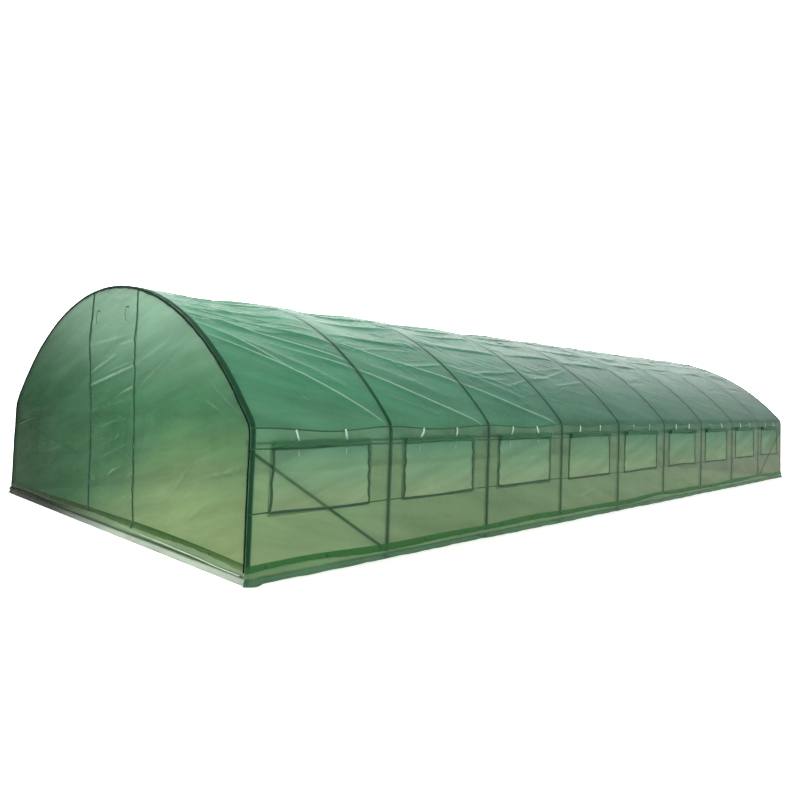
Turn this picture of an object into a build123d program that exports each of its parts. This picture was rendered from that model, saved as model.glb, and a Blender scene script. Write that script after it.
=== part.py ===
"""Polytunnel greenhouse: ten swaged tube hoops under a green reinforced film cover.

X runs across the tunnel, Y along it and Z up. The origin is on the ground at the middle of the
footprint. "right" is +X, "front" is -Y. All sizes are in millimetres.
"""

from build123d import *
from math import atan2, cos, pi, radians, sin, sqrt, tan
import os

# ---------------------------------------------------------------- driving dimensions
LENGTH = 12000  # first hoop to last hoop, centre to centre
WIDTH = 5000  # across the hoop legs, centre to centre
RIDGE_HEIGHT = 2250  # centre line of the roof bow at the ridge
EAVE_HEIGHT = 1070  # where the line of the leg and the line of the roof would meet
BAYS = 9

TUBE = 32  # hoop tube, across its flats
TUBE_SIDES = 6
ELBOW_RADIUS = 150  # bend between leg and roof, on the centre line
ELBOW_TAIL = 200  # length of roof arc that the leg carries above its bend
SPIGOT_LENGTH = 60  # swaged end of the bow inside the leg
SPIGOT = 27  # swaged end, across its flats
SWAGE_TAPER = 15  # length over which the bow narrows to its spigot
SPIGOT_CLEARANCE = 0.3
BOW_CHORDS = 10  # on each half of a bow, every one within 3 mm of its arc

PURLIN_TUBE = 25  # purlin and brace tube, across its flats
PURLIN_BELOW_BEND = 51  # centre of the eave purlins, below the start of the eave bend
CLAMP_SHEET = 2.5
CLAMP_LENGTH = 56  # along the purlin
CLAMP_RELIEF = 2  # the notch for the hoop tube starts this far below it
BRACE_BELOW_PURLIN = 64  # where the corner brace is bolted to the end leg
BRACE_FOOT = 60  # height where it is bolted to the next leg
BRACE_FLAT = 80  # flattened length at each end of a brace
BRACE_TAPER = 60
FLAT_WIDTH = 36  # the flattened tube
FLAT_THICKNESS = 4
FLAT_OVERHANG = 10  # flattened end past the bolt

FOOT_THICKNESS = 4
FOOT_LENGTH = 100  # the foot's tongue points into the tunnel
FOOT_WIDTH = 32

FILM = 3  # woven film, drawn thicker than it is
TAPE = 1.5  # hems, trims, zips and ties
SEAT = 0.3  # between any two pieces that bear on each other
HEM_WIDTH = 50  # cover turned over onto the end wall
BAND_TOP = 130  # doubled band along the foot of every wall
BAND_HEIGHT = 70
FLAP_WIDTH = 40  # ground flap, turned out from the foot of every wall

WINDOW_WIDTH = 920
WINDOW_SILL = 480  # height of the opening's lower edge
WINDOW_DROP = 140  # its upper edge, below the eave seam
SCREEN_MARGIN = 20  # mesh sewn in behind the opening
TRIM_WIDTH = 25
ROLL = 55  # rolled-up window flap, across its flats
ROLL_SIDES = 8
TIE_WIDTH = 20
TIE_SPACING = 465  # between the two ties of one window
TIE_SHIFT = -45  # of the pair, off the window's middle
TIE_DROP = 15  # a tie starts this far below the eave seam
TIE_TAIL = 60

DOOR_WIDTH = 980
DOOR_SHIFT = 165  # the zipped panel stands right of the middle, seen from outside
ZIP_WIDTH = 25
TOGGLE_DROP = 200  # below the centre line of the ridge
TOGGLE_INSET = 160  # from the edge of the door panel
TOGGLE = 12
TOGGLE_LENGTH = 45
TOGGLE_STRAP = 180

# ---------------------------------------------------------------- the hoop's centre line
BAY = LENGTH / BAYS
RISE = RIDGE_HEIGHT - EAVE_HEIGHT
ROOF_RADIUS = ((WIDTH / 2) ** 2 + RISE**2) / (2 * RISE)
ROOF_CENTRE = RIDGE_HEIGHT - ROOF_RADIUS
ELBOW_X = WIDTH / 2 - ELBOW_RADIUS
ELBOW_Z = ROOF_CENTRE + sqrt((ROOF_RADIUS - ELBOW_RADIUS) ** 2 - ELBOW_X**2)
SHOULDER_ANGLE = atan2(ELBOW_X, ELBOW_Z - ROOF_CENTRE)  # from upright, seen from the roof's centre
MOUTH_ANGLE = SHOULDER_ANGLE - ELBOW_TAIL / ROOF_RADIUS
TAPER_ANGLE = MOUTH_ANGLE - SWAGE_TAPER / ROOF_RADIUS

HOOP_PLACES = [-LENGTH / 2 + BAY * i for i in range(BAYS + 1)]
CORNERS = 1 / cos(pi / TUBE_SIDES)  # a tube's size across its corners, from that across its flats
TUBE_REACH = TUBE / 2 * CORNERS  # corner of the hoop tube, along Y

# ---------------------------------------------------------------- layers, outward from the hoops
COVER_IN = TUBE / 2 + SEAT
COVER_OUT = COVER_IN + FILM
TRIM_IN = COVER_OUT + SEAT
WALL_IN = LENGTH / 2 + TUBE_REACH + SEAT
WALL_OUT = WALL_IN + FILM
TAPE_IN = WALL_OUT + SEAT
COVER_END = TAPE_IN + TAPE
WALL_EDGE = COVER_IN - SEAT  # edge of the end wall, just inside the cover

ENDS = {
    "front": Plane(origin=(0, 0, 0), x_dir=(1, 0, 0), z_dir=(0, -1, 0)),
    "back": Plane(origin=(0, 0, 0), x_dir=(-1, 0, 0), z_dir=(0, 1, 0)),
}
SIDES = {
    "right": Plane(origin=(WIDTH / 2, 0, 0), x_dir=(0, 1, 0), z_dir=(1, 0, 0)),
    "left": Plane(origin=(-WIDTH / 2, 0, 0), x_dir=(0, -1, 0), z_dir=(-1, 0, 0)),
}


def save(piece, name):
    piece.part.label = name
    export_step(piece.part, f"parts/{name}.step")


def roof_point(angle, offset=0):
    """A point on the roof's arc, at an angle from upright and an offset outward from the tube."""
    radius = ROOF_RADIUS + offset
    return radius * sin(angle), ROOF_CENTRE + radius * cos(angle)


def elbow_point(angle, offset=0):
    """A point on the eave bend, at an angle above the horizontal."""
    radius = ELBOW_RADIUS + offset
    return ELBOW_X + radius * cos(angle), ELBOW_Z + radius * sin(angle)


def arch_face(offset):
    """The face under a hoop, out to an offset from its centre line."""
    bend = pi / 2 - SHOULDER_ANGLE
    foot = WIDTH / 2 + offset
    with BuildSketch() as face:
        with BuildLine():
            Line((0, 0), (foot, 0))
            Line((foot, 0), (foot, ELBOW_Z))
            ThreePointArc(
                (foot, ELBOW_Z), elbow_point(bend / 2, offset), elbow_point(bend, offset)
            )
            ThreePointArc(
                roof_point(SHOULDER_ANGLE, offset),
                roof_point(SHOULDER_ANGLE / 2, offset),
                roof_point(0, offset),
            )
            mirror(about=Plane.YZ)
        make_face()
    return face.sketch


def roof_arc(start, end):
    """Part of the hoop's roof arc between two angles from upright."""
    return ThreePointArc(roof_point(start), roof_point((start + end) / 2), roof_point(end))


def section_at(path, at):
    """The plane across a path, turned so that a tube's flats face in and out of the tunnel."""
    return Plane(origin=path @ at, x_dir=(0, 1, 0), z_dir=path % at)


def tube_section(across_flats):
    RegularPolygon(across_flats / 2, TUBE_SIDES, major_radius=False)


os.makedirs("parts", exist_ok=True)

# ---------------------------------------------------------------- hoops
# A hoop is two legs and a roof bow. Each leg carries the eave bend and ends in a socket, and the
# bow is swaged down at both ends to plug into it. The mouth plane faces down the right leg.
MOUTH = Plane(
    origin=(roof_point(MOUTH_ANGLE)[0], 0, roof_point(MOUTH_ANGLE)[1]),
    x_dir=(0, 1, 0),
    z_dir=(cos(MOUTH_ANGLE), 0, -sin(MOUTH_ANGLE)),
)

with BuildPart() as leg:
    with BuildLine(Plane.XZ) as leg_path:
        Line((WIDTH / 2, FOOT_THICKNESS), (WIDTH / 2, ELBOW_Z))
        ThreePointArc(
            (WIDTH / 2, ELBOW_Z),
            elbow_point((pi / 2 - SHOULDER_ANGLE) / 2),
            elbow_point(pi / 2 - SHOULDER_ANGLE),
        )
        roof_arc(SHOULDER_ANGLE, MOUTH_ANGLE)
    with BuildSketch(section_at(leg_path.line, 0)):
        tube_section(TUBE)
    sweep(path=leg_path.line)
    with BuildSketch(MOUTH):
        tube_section(SPIGOT + 2 * SPIGOT_CLEARANCE)
    extrude(amount=SPIGOT_LENGTH + SPIGOT_CLEARANCE, mode=Mode.SUBTRACT)

with BuildPart() as right_legs:
    with Locations([(0, place, 0) for place in HOOP_PLACES]):
        add(leg.part)
save(right_legs, "right_legs")

with BuildPart() as left_legs:
    with Locations([(0, place, 0) for place in HOOP_PLACES]):
        add(leg.part.mirror(Plane.YZ))
save(left_legs, "left_legs")

with BuildPart() as bow:
    with BuildLine(Plane.XZ) as bow_path:
        Polyline(*[roof_point(TAPER_ANGLE * i / BOW_CHORDS) for i in range(BOW_CHORDS + 1)])
    with BuildSketch(Plane.YZ):
        with Locations((0, RIDGE_HEIGHT)):
            tube_section(TUBE)
    sweep(path=bow_path.wire(), transition=Transition.RIGHT)
    with BuildSketch(section_at(bow_path.wire(), 1)):
        tube_section(TUBE)
    with BuildSketch(MOUTH):
        tube_section(SPIGOT)
    loft(ruled=True)
    with BuildSketch(MOUTH):
        tube_section(SPIGOT)
    extrude(amount=SPIGOT_LENGTH)
    mirror(about=Plane.YZ)

for number, place in enumerate(HOOP_PLACES, start=1):
    with BuildPart() as roof_bow:
        with Locations((0, place, 0)):
            add(bow.part)
    save(roof_bow, f"roof_bow_{number:02d}")

with BuildPart() as foot_plates:
    with Locations([(0, place, 0) for place in HOOP_PLACES]):
        with Locations((WIDTH / 2 + TUBE / 2, 0)):
            Box(
                FOOT_LENGTH,
                FOOT_WIDTH,
                FOOT_THICKNESS,
                align=(Align.MAX, Align.CENTER, Align.MIN),
            )
    mirror(about=Plane.YZ)
save(foot_plates, "foot_plates")

# ---------------------------------------------------------------- purlins, clamps and braces
# A purlin runs under every hoop. Its own plane has local Y pointing at the hoop tube.
PURLIN_DROP = TUBE / 2 + SEAT + PURLIN_TUBE / 2
PURLIN_HEIGHT = ELBOW_Z - PURLIN_BELOW_BEND
PURLINS = {
    "ridge_purlin": Plane(
        origin=(0, 0, RIDGE_HEIGHT - PURLIN_DROP), x_dir=(1, 0, 0), z_dir=(0, -1, 0)
    ),
    "right_purlin": Plane(
        origin=(WIDTH / 2 - PURLIN_DROP, 0, PURLIN_HEIGHT), x_dir=(0, 0, -1), z_dir=(0, -1, 0)
    ),
    "left_purlin": Plane(
        origin=(PURLIN_DROP - WIDTH / 2, 0, PURLIN_HEIGHT), x_dir=(0, 0, 1), z_dir=(0, -1, 0)
    ),
}

for name, plane in PURLINS.items():
    with BuildPart() as purlin:
        with BuildSketch(plane):
            tube_section(PURLIN_TUBE)
        extrude(amount=LENGTH / 2 + TUBE / 2, both=True)
    save(purlin, name)

# A saddle clamp holds the purlin to each hoop: a U of sheet round the purlin, whose four ears
# stand up on both sides of the hoop tube.
BOTTOM_CENTRE = (Align.CENTER, Align.MIN)
CLAMP_WIDTH = PURLIN_TUBE * CORNERS + 2 * SEAT
CLAMP_FLOOR = PURLIN_TUBE / 2 + SEAT
with BuildPart() as purlin_clamps:
    for plane in PURLINS.values():
        for place in HOOP_PLACES:
            with BuildSketch(plane.offset(-place)):
                with Locations((0, -CLAMP_FLOOR - CLAMP_SHEET)):
                    Rectangle(
                        CLAMP_WIDTH + 2 * CLAMP_SHEET,
                        CLAMP_SHEET + CLAMP_FLOOR + PURLIN_DROP,
                        align=BOTTOM_CENTRE,
                    )
                with Locations((0, -CLAMP_FLOOR)):
                    Rectangle(
                        CLAMP_WIDTH,
                        CLAMP_FLOOR + PURLIN_DROP,
                        align=BOTTOM_CENTRE,
                        mode=Mode.SUBTRACT,
                    )
            extrude(amount=CLAMP_LENGTH / 2, both=True)
            with BuildSketch(plane.offset(-place)):
                with Locations((0, PURLIN_TUBE / 2 - CLAMP_RELIEF)):
                    Rectangle(2 * CLAMP_WIDTH, 2 * PURLIN_DROP, align=BOTTOM_CENTRE)
            extrude(amount=TUBE_REACH + SEAT, both=True, mode=Mode.SUBTRACT)
    Box(2 * WIDTH, LENGTH + 2 * TUBE_REACH, 2 * RIDGE_HEIGHT, mode=Mode.INTERSECT)
save(purlin_clamps, "purlin_clamps")


def flattened_tube(width, thickness):
    """Six-sided tube section, pressed from round towards flat, with its edges at the same slope."""
    edge = thickness / 2 * tan(pi / TUBE_SIDES)
    Polygon(
        (width / 2, 0),
        (width / 2 - edge, thickness / 2),
        (edge - width / 2, thickness / 2),
        (-width / 2, 0),
        (edge - width / 2, -thickness / 2),
        (width / 2 - edge, -thickness / 2),
    )


# Each corner brace slopes from the end leg down to the foot of the next one, with its ends
# pressed flat and bolted to the inner side of the legs.
BRACE_X = WIDTH / 2 - TUBE / 2 - SEAT - FLAT_THICKNESS / 2
brace_top = Vector(BRACE_X, -LENGTH / 2, PURLIN_HEIGHT - BRACE_BELOW_PURLIN)
brace_foot = Vector(BRACE_X, -LENGTH / 2 + BAY, BRACE_FOOT)
brace_run = (brace_foot - brace_top).normalized()
brace_length = (brace_foot - brace_top).length + 2 * FLAT_OVERHANG
with BuildPart() as corner_braces:
    for distance, width, thickness in (
        (0, FLAT_WIDTH, FLAT_THICKNESS),
        (BRACE_FLAT, FLAT_WIDTH, FLAT_THICKNESS),
        (BRACE_FLAT + BRACE_TAPER, PURLIN_TUBE * CORNERS, PURLIN_TUBE),
        (brace_length - BRACE_FLAT - BRACE_TAPER, PURLIN_TUBE * CORNERS, PURLIN_TUBE),
        (brace_length - BRACE_FLAT, FLAT_WIDTH, FLAT_THICKNESS),
        (brace_length, FLAT_WIDTH, FLAT_THICKNESS),
    ):
        station = brace_top + brace_run * (distance - FLAT_OVERHANG)
        across = brace_run.cross(Vector(1, 0, 0))
        with BuildSketch(Plane(origin=station, x_dir=across, z_dir=brace_run)):
            flattened_tube(width, thickness)
    loft(ruled=True)
    mirror(about=Plane.YZ)
    mirror(about=Plane.XZ)
save(corner_braces, "corner_braces")

# ---------------------------------------------------------------- roof and side covers
# One film shell over all hoops, seamed at the eaves where the roof meets the sides.
with BuildPart() as roof_cover:
    with BuildSketch(Plane.XZ):
        add(arch_face(COVER_OUT))
        add(arch_face(COVER_IN), mode=Mode.SUBTRACT)
        with Locations((0, EAVE_HEIGHT)):
            Rectangle(2 * WIDTH, EAVE_HEIGHT, align=(Align.CENTER, Align.MAX), mode=Mode.SUBTRACT)
    extrude(amount=COVER_END, both=True)
save(roof_cover, "roof_cover")

WINDOW_PLACES = [(-LENGTH / 2 + BAY * (i + 0.5), WINDOW_SILL) for i in range(BAYS)]
WINDOW_HEIGHT = EAVE_HEIGHT - WINDOW_DROP - WINDOW_SILL

for side, plane in SIDES.items():
    outward = 1 if side == "right" else -1
    with BuildPart() as side_cover:
        with BuildSketch(Plane.XZ):
            add(arch_face(COVER_OUT))
            add(arch_face(COVER_IN), mode=Mode.SUBTRACT)
            with Locations((outward * WIDTH / 2, 0)):
                Rectangle(
                    WIDTH / 2, EAVE_HEIGHT - SEAT, align=BOTTOM_CENTRE, mode=Mode.INTERSECT
                )
        extrude(amount=COVER_END, both=True)
        with BuildSketch(plane):
            with Locations(WINDOW_PLACES):
                Rectangle(WINDOW_WIDTH, WINDOW_HEIGHT, align=BOTTOM_CENTRE)
        extrude(amount=2 * COVER_OUT, mode=Mode.SUBTRACT)
    save(side_cover, f"{side}_side_cover")

    with BuildPart() as screens:
        with BuildSketch(plane.offset(COVER_IN - SEAT - TAPE)):
            with Locations([(y, z - SCREEN_MARGIN) for y, z in WINDOW_PLACES]):
                Rectangle(
                    WINDOW_WIDTH + 2 * SCREEN_MARGIN,
                    WINDOW_HEIGHT + 2 * SCREEN_MARGIN,
                    align=BOTTOM_CENTRE,
                )
        extrude(amount=TAPE)
    save(screens, f"{side}_window_screens")

    with BuildPart() as trims:
        with BuildSketch(plane.offset(TRIM_IN)):
            with Locations([(y, z - TRIM_WIDTH) for y, z in WINDOW_PLACES]):
                Rectangle(
                    WINDOW_WIDTH + 2 * TRIM_WIDTH,
                    WINDOW_HEIGHT + TRIM_WIDTH,
                    align=BOTTOM_CENTRE,
                )
            with Locations(WINDOW_PLACES):
                Rectangle(
                    WINDOW_WIDTH, WINDOW_HEIGHT, align=BOTTOM_CENTRE, mode=Mode.SUBTRACT
                )
        extrude(amount=TAPE)
    save(trims, f"{side}_window_trims")

    # The window's own flap is rolled up and tied above the opening.
    roll_height = WINDOW_SILL + WINDOW_HEIGHT + SEAT + ROLL / 2
    roll_out = TRIM_IN + ROLL / 2
    with BuildPart() as flaps:
        for y, _ in WINDOW_PLACES:
            end = Plane(
                origin=plane.from_local_coords(Vector(y, roll_height, roll_out)),
                x_dir=plane.z_dir,
                z_dir=plane.x_dir,
            )
            with BuildSketch(end):
                RegularPolygon(
                    ROLL / 2, ROLL_SIDES, major_radius=False, rotation=180 / ROLL_SIDES
                )
            extrude(amount=WINDOW_WIDTH / 2, both=True)
    save(flaps, f"{side}_window_flaps")

    # A tie hangs from the eave seam, goes round the roll and ends in a tail below it. Its outline
    # is drawn from the roll's centre, outward and up.
    inner = ROLL / 2 + SEAT
    outer = inner + TAPE
    on_wall = -ROLL / 2
    tie_top = EAVE_HEIGHT - TIE_DROP - roll_height
    with BuildPart() as ties:
        for y, _ in WINDOW_PLACES:
            for step in (TIE_SHIFT - TIE_SPACING / 2, TIE_SHIFT + TIE_SPACING / 2):
                band = Plane(
                    origin=plane.from_local_coords(Vector(y + step, roll_height, roll_out)),
                    x_dir=plane.z_dir,
                    z_dir=plane.x_dir * -1,
                )
                with BuildSketch(band):
                    Polygon(
                        (on_wall, tie_top),
                        (on_wall, inner),
                        (inner, inner),
                        (inner, -inner),
                        (on_wall, -inner),
                        (on_wall, -outer - TIE_TAIL),
                        (on_wall + TAPE, -outer - TIE_TAIL),
                        (on_wall + TAPE, -outer),
                        (outer, -outer),
                        (outer, outer),
                        (on_wall + TAPE, outer),
                        (on_wall + TAPE, tie_top),
                        align=None,
                    )
                extrude(amount=TIE_WIDTH / 2, both=True)
    save(ties, f"{side}_window_ties")

# ---------------------------------------------------------------- end walls and zipped doors
LEFT_ZIP = DOOR_SHIFT - DOOR_WIDTH / 2
RIGHT_ZIP = DOOR_SHIFT + DOOR_WIDTH / 2
TOGGLE_PLACES = [
    (LEFT_ZIP + TOGGLE_INSET, RIDGE_HEIGHT - TOGGLE_DROP),
    (RIGHT_ZIP - TOGGLE_INSET, RIDGE_HEIGHT - TOGGLE_DROP),
]


def wall_strip(start, end):
    """Keeps only what lies between two places across the end wall."""
    with Locations((start, 0)):
        Rectangle(
            end - start, 2 * RIDGE_HEIGHT, align=(Align.MIN, Align.MIN), mode=Mode.INTERSECT
        )


for end, plane in ENDS.items():
    for name, start, stop in (
        (f"{end}_wall_left", -WIDTH, LEFT_ZIP - SEAT),
        (f"{end}_door_panel", LEFT_ZIP + SEAT, RIGHT_ZIP - SEAT),
        (f"{end}_wall_right", RIGHT_ZIP + SEAT, WIDTH),
    ):
        with BuildPart() as wall_piece:
            with BuildSketch(plane.offset(WALL_IN)):
                add(arch_face(WALL_EDGE))
                wall_strip(start, stop)
            extrude(amount=FILM)
        save(wall_piece, name)

    # The roof and side covers are turned over the end hoop and sewn to the wall.
    with BuildPart() as arch_hem:
        with BuildSketch(plane.offset(TAPE_IN)):
            add(arch_face(WALL_EDGE))
            add(arch_face(WALL_EDGE - HEM_WIDTH), mode=Mode.SUBTRACT)
        extrude(amount=TAPE)
    save(arch_hem, f"{end}_arch_hem")

    with BuildPart() as zips:
        with BuildSketch(plane.offset(TAPE_IN)):
            with Locations((LEFT_ZIP, 0), (RIGHT_ZIP, 0)):
                Rectangle(ZIP_WIDTH, 2 * RIDGE_HEIGHT, align=BOTTOM_CENTRE)
            add(arch_face(WALL_EDGE - HEM_WIDTH - SEAT), mode=Mode.INTERSECT)
        extrude(amount=TAPE)
    save(zips, f"{end}_door_zips")

    # Two toggles on straps hold the door when it is rolled up.
    with BuildPart() as door_ties:
        with BuildSketch(plane.offset(TAPE_IN)):
            with Locations(TOGGLE_PLACES):
                Rectangle(TIE_WIDTH, TOGGLE_STRAP, align=(Align.CENTER, Align.MAX))
        extrude(amount=TAPE)
        with BuildSketch(plane.offset(TAPE_IN)):
            with Locations(TOGGLE_PLACES):
                Rectangle(TOGGLE_LENGTH, TOGGLE)
        extrude(amount=TOGGLE)
    save(door_ties, f"{end}_door_ties")

# ---------------------------------------------------------------- bands and ground flaps
with BuildPart() as side_bands:
    for plane in SIDES.values():
        with BuildSketch(plane.offset(TRIM_IN)):
            with Locations((0, BAND_TOP)):
                Rectangle(2 * COVER_END, BAND_HEIGHT, align=(Align.CENTER, Align.MAX))
        extrude(amount=TAPE)
save(side_bands, "side_hem_bands")

HEM_INNER = WIDTH / 2 + WALL_EDGE - HEM_WIDTH
with BuildPart() as end_bands:
    for plane in ENDS.values():
        with BuildSketch(plane.offset(TAPE_IN)):
            with Locations((0, BAND_TOP)):
                Rectangle(2 * (HEM_INNER - SEAT), BAND_HEIGHT, align=(Align.CENTER, Align.MAX))
            with Locations((LEFT_ZIP, 0), (RIGHT_ZIP, 0)):
                Rectangle(
                    ZIP_WIDTH + 2 * SEAT,
                    2 * BAND_TOP,
                    align=BOTTOM_CENTRE,
                    mode=Mode.SUBTRACT,
                )
        extrude(amount=TAPE)
save(end_bands, "end_hem_bands")

# The film's lower edge lies out over the ground, and the flaps meet at the corners on a mitre.
FLAP_START = WIDTH / 2 + TRIM_IN
FLAP_END_START = COVER_END + SEAT
with BuildPart() as side_flaps:
    with BuildSketch(Plane.XY):
        Polygon(
            (FLAP_START, -FLAP_END_START),
            (FLAP_START + FLAP_WIDTH, -FLAP_END_START - FLAP_WIDTH),
            (FLAP_START + FLAP_WIDTH, FLAP_END_START + FLAP_WIDTH),
            (FLAP_START, FLAP_END_START),
            align=None,
        )
    extrude(amount=FILM)
    mirror(about=Plane.YZ)
save(side_flaps, "side_ground_flaps")

with BuildPart() as end_flaps:
    with BuildSketch(Plane.XY):
        Polygon(
            (-FLAP_START + SEAT, -FLAP_END_START),
            (-FLAP_START - FLAP_WIDTH + SEAT, -FLAP_END_START - FLAP_WIDTH),
            (FLAP_START + FLAP_WIDTH - SEAT, -FLAP_END_START - FLAP_WIDTH),
            (FLAP_START - SEAT, -FLAP_END_START),
            align=None,
        )
    extrude(amount=FILM)
    mirror(about=Plane.XZ)
save(end_flaps, "end_ground_flaps")
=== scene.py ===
"""Polytunnel greenhouse: ten tube hoops under a green woven film cover.

Metres, in the frame's axes: X runs across the tunnel, Y along it from front to back, Z up.
"""

import bpy
import numpy as np
from mathutils import Matrix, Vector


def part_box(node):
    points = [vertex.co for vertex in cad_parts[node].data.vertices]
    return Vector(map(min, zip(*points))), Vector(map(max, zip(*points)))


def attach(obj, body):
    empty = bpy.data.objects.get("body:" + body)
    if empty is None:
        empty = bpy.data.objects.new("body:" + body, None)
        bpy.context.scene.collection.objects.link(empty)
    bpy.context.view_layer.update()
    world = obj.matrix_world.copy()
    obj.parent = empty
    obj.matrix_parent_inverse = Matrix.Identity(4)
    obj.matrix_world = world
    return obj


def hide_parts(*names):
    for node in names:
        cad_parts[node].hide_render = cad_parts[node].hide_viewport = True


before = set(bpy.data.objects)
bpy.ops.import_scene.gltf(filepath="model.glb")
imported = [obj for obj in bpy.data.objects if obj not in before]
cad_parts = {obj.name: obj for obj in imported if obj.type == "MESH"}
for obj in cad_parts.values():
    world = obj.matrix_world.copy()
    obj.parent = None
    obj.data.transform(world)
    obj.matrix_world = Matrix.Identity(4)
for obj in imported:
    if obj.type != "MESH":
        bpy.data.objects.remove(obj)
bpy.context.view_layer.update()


# ---------------------------------------------------------------- hoops
# Ten hoops of round steel tube, 32 mm across, powder-coated dark green. Two legs with the eave
# bend stand on the ground and a rolled bow, swaged down at both ends, plugs into their mouths.
TUBE = 0.032
ELBOW_RADIUS = 0.150
LEG_TAIL = 0.200  # roof arc that the leg carries above its bend
SWAGE = 0.0025  # step from the bow's tube down to its spigot
SWAGE_LENGTH = 0.015
SPIGOT_TIP = 0.002  # of the spigot that is drawn inside the leg's mouth
PLAIN_FROM = 0.080  # of the bow, from its end to where its rows are evenly spaced
TUBE_COLUMNS = 16  # points round a tube

BOWS = [f"roof_bow_{number:02d}" for number in range(1, 11)]
hoop_places = np.array([(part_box(bow)[0].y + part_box(bow)[1].y) / 2 for bow in BOWS])
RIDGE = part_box(BOWS[0])[1].z - TUBE / 2
HALF_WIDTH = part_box("right_legs")[1].x - TUBE / 2
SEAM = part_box("roof_cover")[0].z  # where the roof film meets the side film
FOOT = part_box("right_legs")[0].z
FRONT = hoop_places[0]
BAY = hoop_places[1] - hoop_places[0]

RISE = RIDGE - SEAM
ROOF_RADIUS = (HALF_WIDTH**2 + RISE**2) / (2 * RISE)
ROOF_CENTRE = RIDGE - ROOF_RADIUS
ELBOW_X = HALF_WIDTH - ELBOW_RADIUS
ELBOW_Z = ROOF_CENTRE + np.sqrt((ROOF_RADIUS - ELBOW_RADIUS) ** 2 - ELBOW_X**2)
SHOULDER = np.arctan2(ELBOW_X, ELBOW_Z - ROOF_CENTRE)
ROOF_LENGTH = ROOF_RADIUS * SHOULDER  # from the ridge to the eave bend
BEND_LENGTH = ELBOW_RADIUS * (np.pi / 2 - SHOULDER)
HOOP_LENGTH = ROOF_LENGTH + BEND_LENGTH + ELBOW_Z  # from the ridge to the ground


def hoop_line(along, out=0.0):
    """Places across the tunnel at lengths along the hoop from the ridge, to its right positive.

    The angle from upright grows as length over radius, first on the roof's arc and then on the
    eave bend, and stays a right angle down the leg. A place stands `out` off the tube's line.
    """
    length, side = np.abs(along), np.where(np.asarray(along) < 0, -1.0, 1.0)
    on_roof = np.minimum(length, ROOF_LENGTH) / ROOF_RADIUS
    on_bend = np.clip(length - ROOF_LENGTH, 0, BEND_LENGTH) / ELBOW_RADIUS
    down = np.maximum(length - ROOF_LENGTH - BEND_LENGTH, 0)
    angle = on_roof + on_bend
    x = (ROOF_RADIUS - ELBOW_RADIUS) * np.sin(on_roof) + (ELBOW_RADIUS + out) * np.sin(angle)
    z = (ROOF_RADIUS - ELBOW_RADIUS) * np.cos(on_roof) + (ELBOW_RADIUS + out) * np.cos(angle)
    return side * x, ROOF_CENTRE + z - down


def ring(columns, across=1.0, up=1.0, turn=0.0):
    """An ellipse of points: half its width times cosine, half its height times sine."""
    angle = np.linspace(0, 2 * np.pi, columns, endpoint=False) + turn
    return np.stack([across * np.cos(angle), up * np.sin(angle)], -1)


def carried(path, up, outlines):
    """A closed outline carried along a path: each row is the path's point plus the outline laid
    out on the path's own sideways and upward directions. One outline, or one for each row."""
    path, outlines = np.asarray(path, float), np.asarray(outlines, float)
    run = np.gradient(path, axis=0)
    run /= np.linalg.norm(run, axis=1, keepdims=True)
    sideways = np.cross(run, np.broadcast_to(up, path.shape))
    sideways /= np.linalg.norm(sideways, axis=1, keepdims=True)
    upward = np.cross(sideways, run)
    outlines = np.broadcast_to(outlines, (len(path), *outlines.shape[-2:]))
    return (
        path[:, None]
        + outlines[..., :1] * sideways[:, None]
        + outlines[..., 1:] * upward[:, None]
    )


def faces_of(points, closed, keep):
    """The four-cornered faces between neighbours on a grid, with end caps if it closes round."""
    rows, columns = points.shape[:2]
    index = np.arange(rows * columns).reshape(rows, columns)
    looped = np.hstack([index, index[:, :1]]) if closed else index
    quads = np.stack(
        [looped[:-1, :-1], looped[:-1, 1:], looped[1:, 1:], looped[1:, :-1]], -1
    ).reshape(-1, 4)
    if not closed:
        return quads[keep.ravel()] if keep is not None else quads, []
    corners = points.reshape(-1, 3)[quads] - points.mean((0, 1))
    volume = np.einsum("ij,ij->", corners[:, 0], np.cross(corners[:, 1], corners[:, 2]))
    volume += np.einsum("ij,ij->", corners[:, 0], np.cross(corners[:, 2], corners[:, 3]))
    caps = [index[0, ::-1], index[-1]]
    if volume < 0:
        return quads[:, ::-1], [cap[::-1] for cap in caps]
    return quads, caps


def piece(name, grids, finish, slot, *replaced, closed=True, keep=None, metres=None,
          crease=None):
    """One object from grids of points, each shaped (rows, columns, 3).

    A closed grid joins its last column to its first and is capped at both ends. An open one is
    a sheet, whose faces can be dropped by `keep`, whose UV map holds `metres` and whose points
    hold `crease`.
    """
    vertices, faces, count = [], [], 0
    for points in grids:
        quads, caps = faces_of(points, closed, keep)
        faces += (quads + count).tolist() + [(cap + count).tolist() for cap in caps]
        vertices.append(points.reshape(-1, 3))
        count += points.shape[0] * points.shape[1]
    mesh = bpy.data.meshes.new(name)
    mesh.from_pydata(np.concatenate(vertices), [], faces)
    if metres is not None:
        corner = np.empty(len(mesh.loops), int)
        mesh.loops.foreach_get("vertex_index", corner)
        layer = mesh.uv_layers.new(name="metres")
        layer.uv.foreach_set("vector", metres.reshape(-1, 2)[corner].astype("f").ravel())
    if crease is not None:
        values = mesh.attributes.new("crease", "FLOAT", "POINT").data
        values.foreach_set("value", crease.ravel().astype("f"))
    mesh.polygons.foreach_set("use_smooth", [len(face) == 4 for face in faces])
    mesh.materials.append(finish)
    made = bpy.data.objects.new(name, mesh)
    bpy.context.scene.collection.objects.link(made)
    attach(made, "root")
    if replaced:
        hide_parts(*replaced)
    return made


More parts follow.
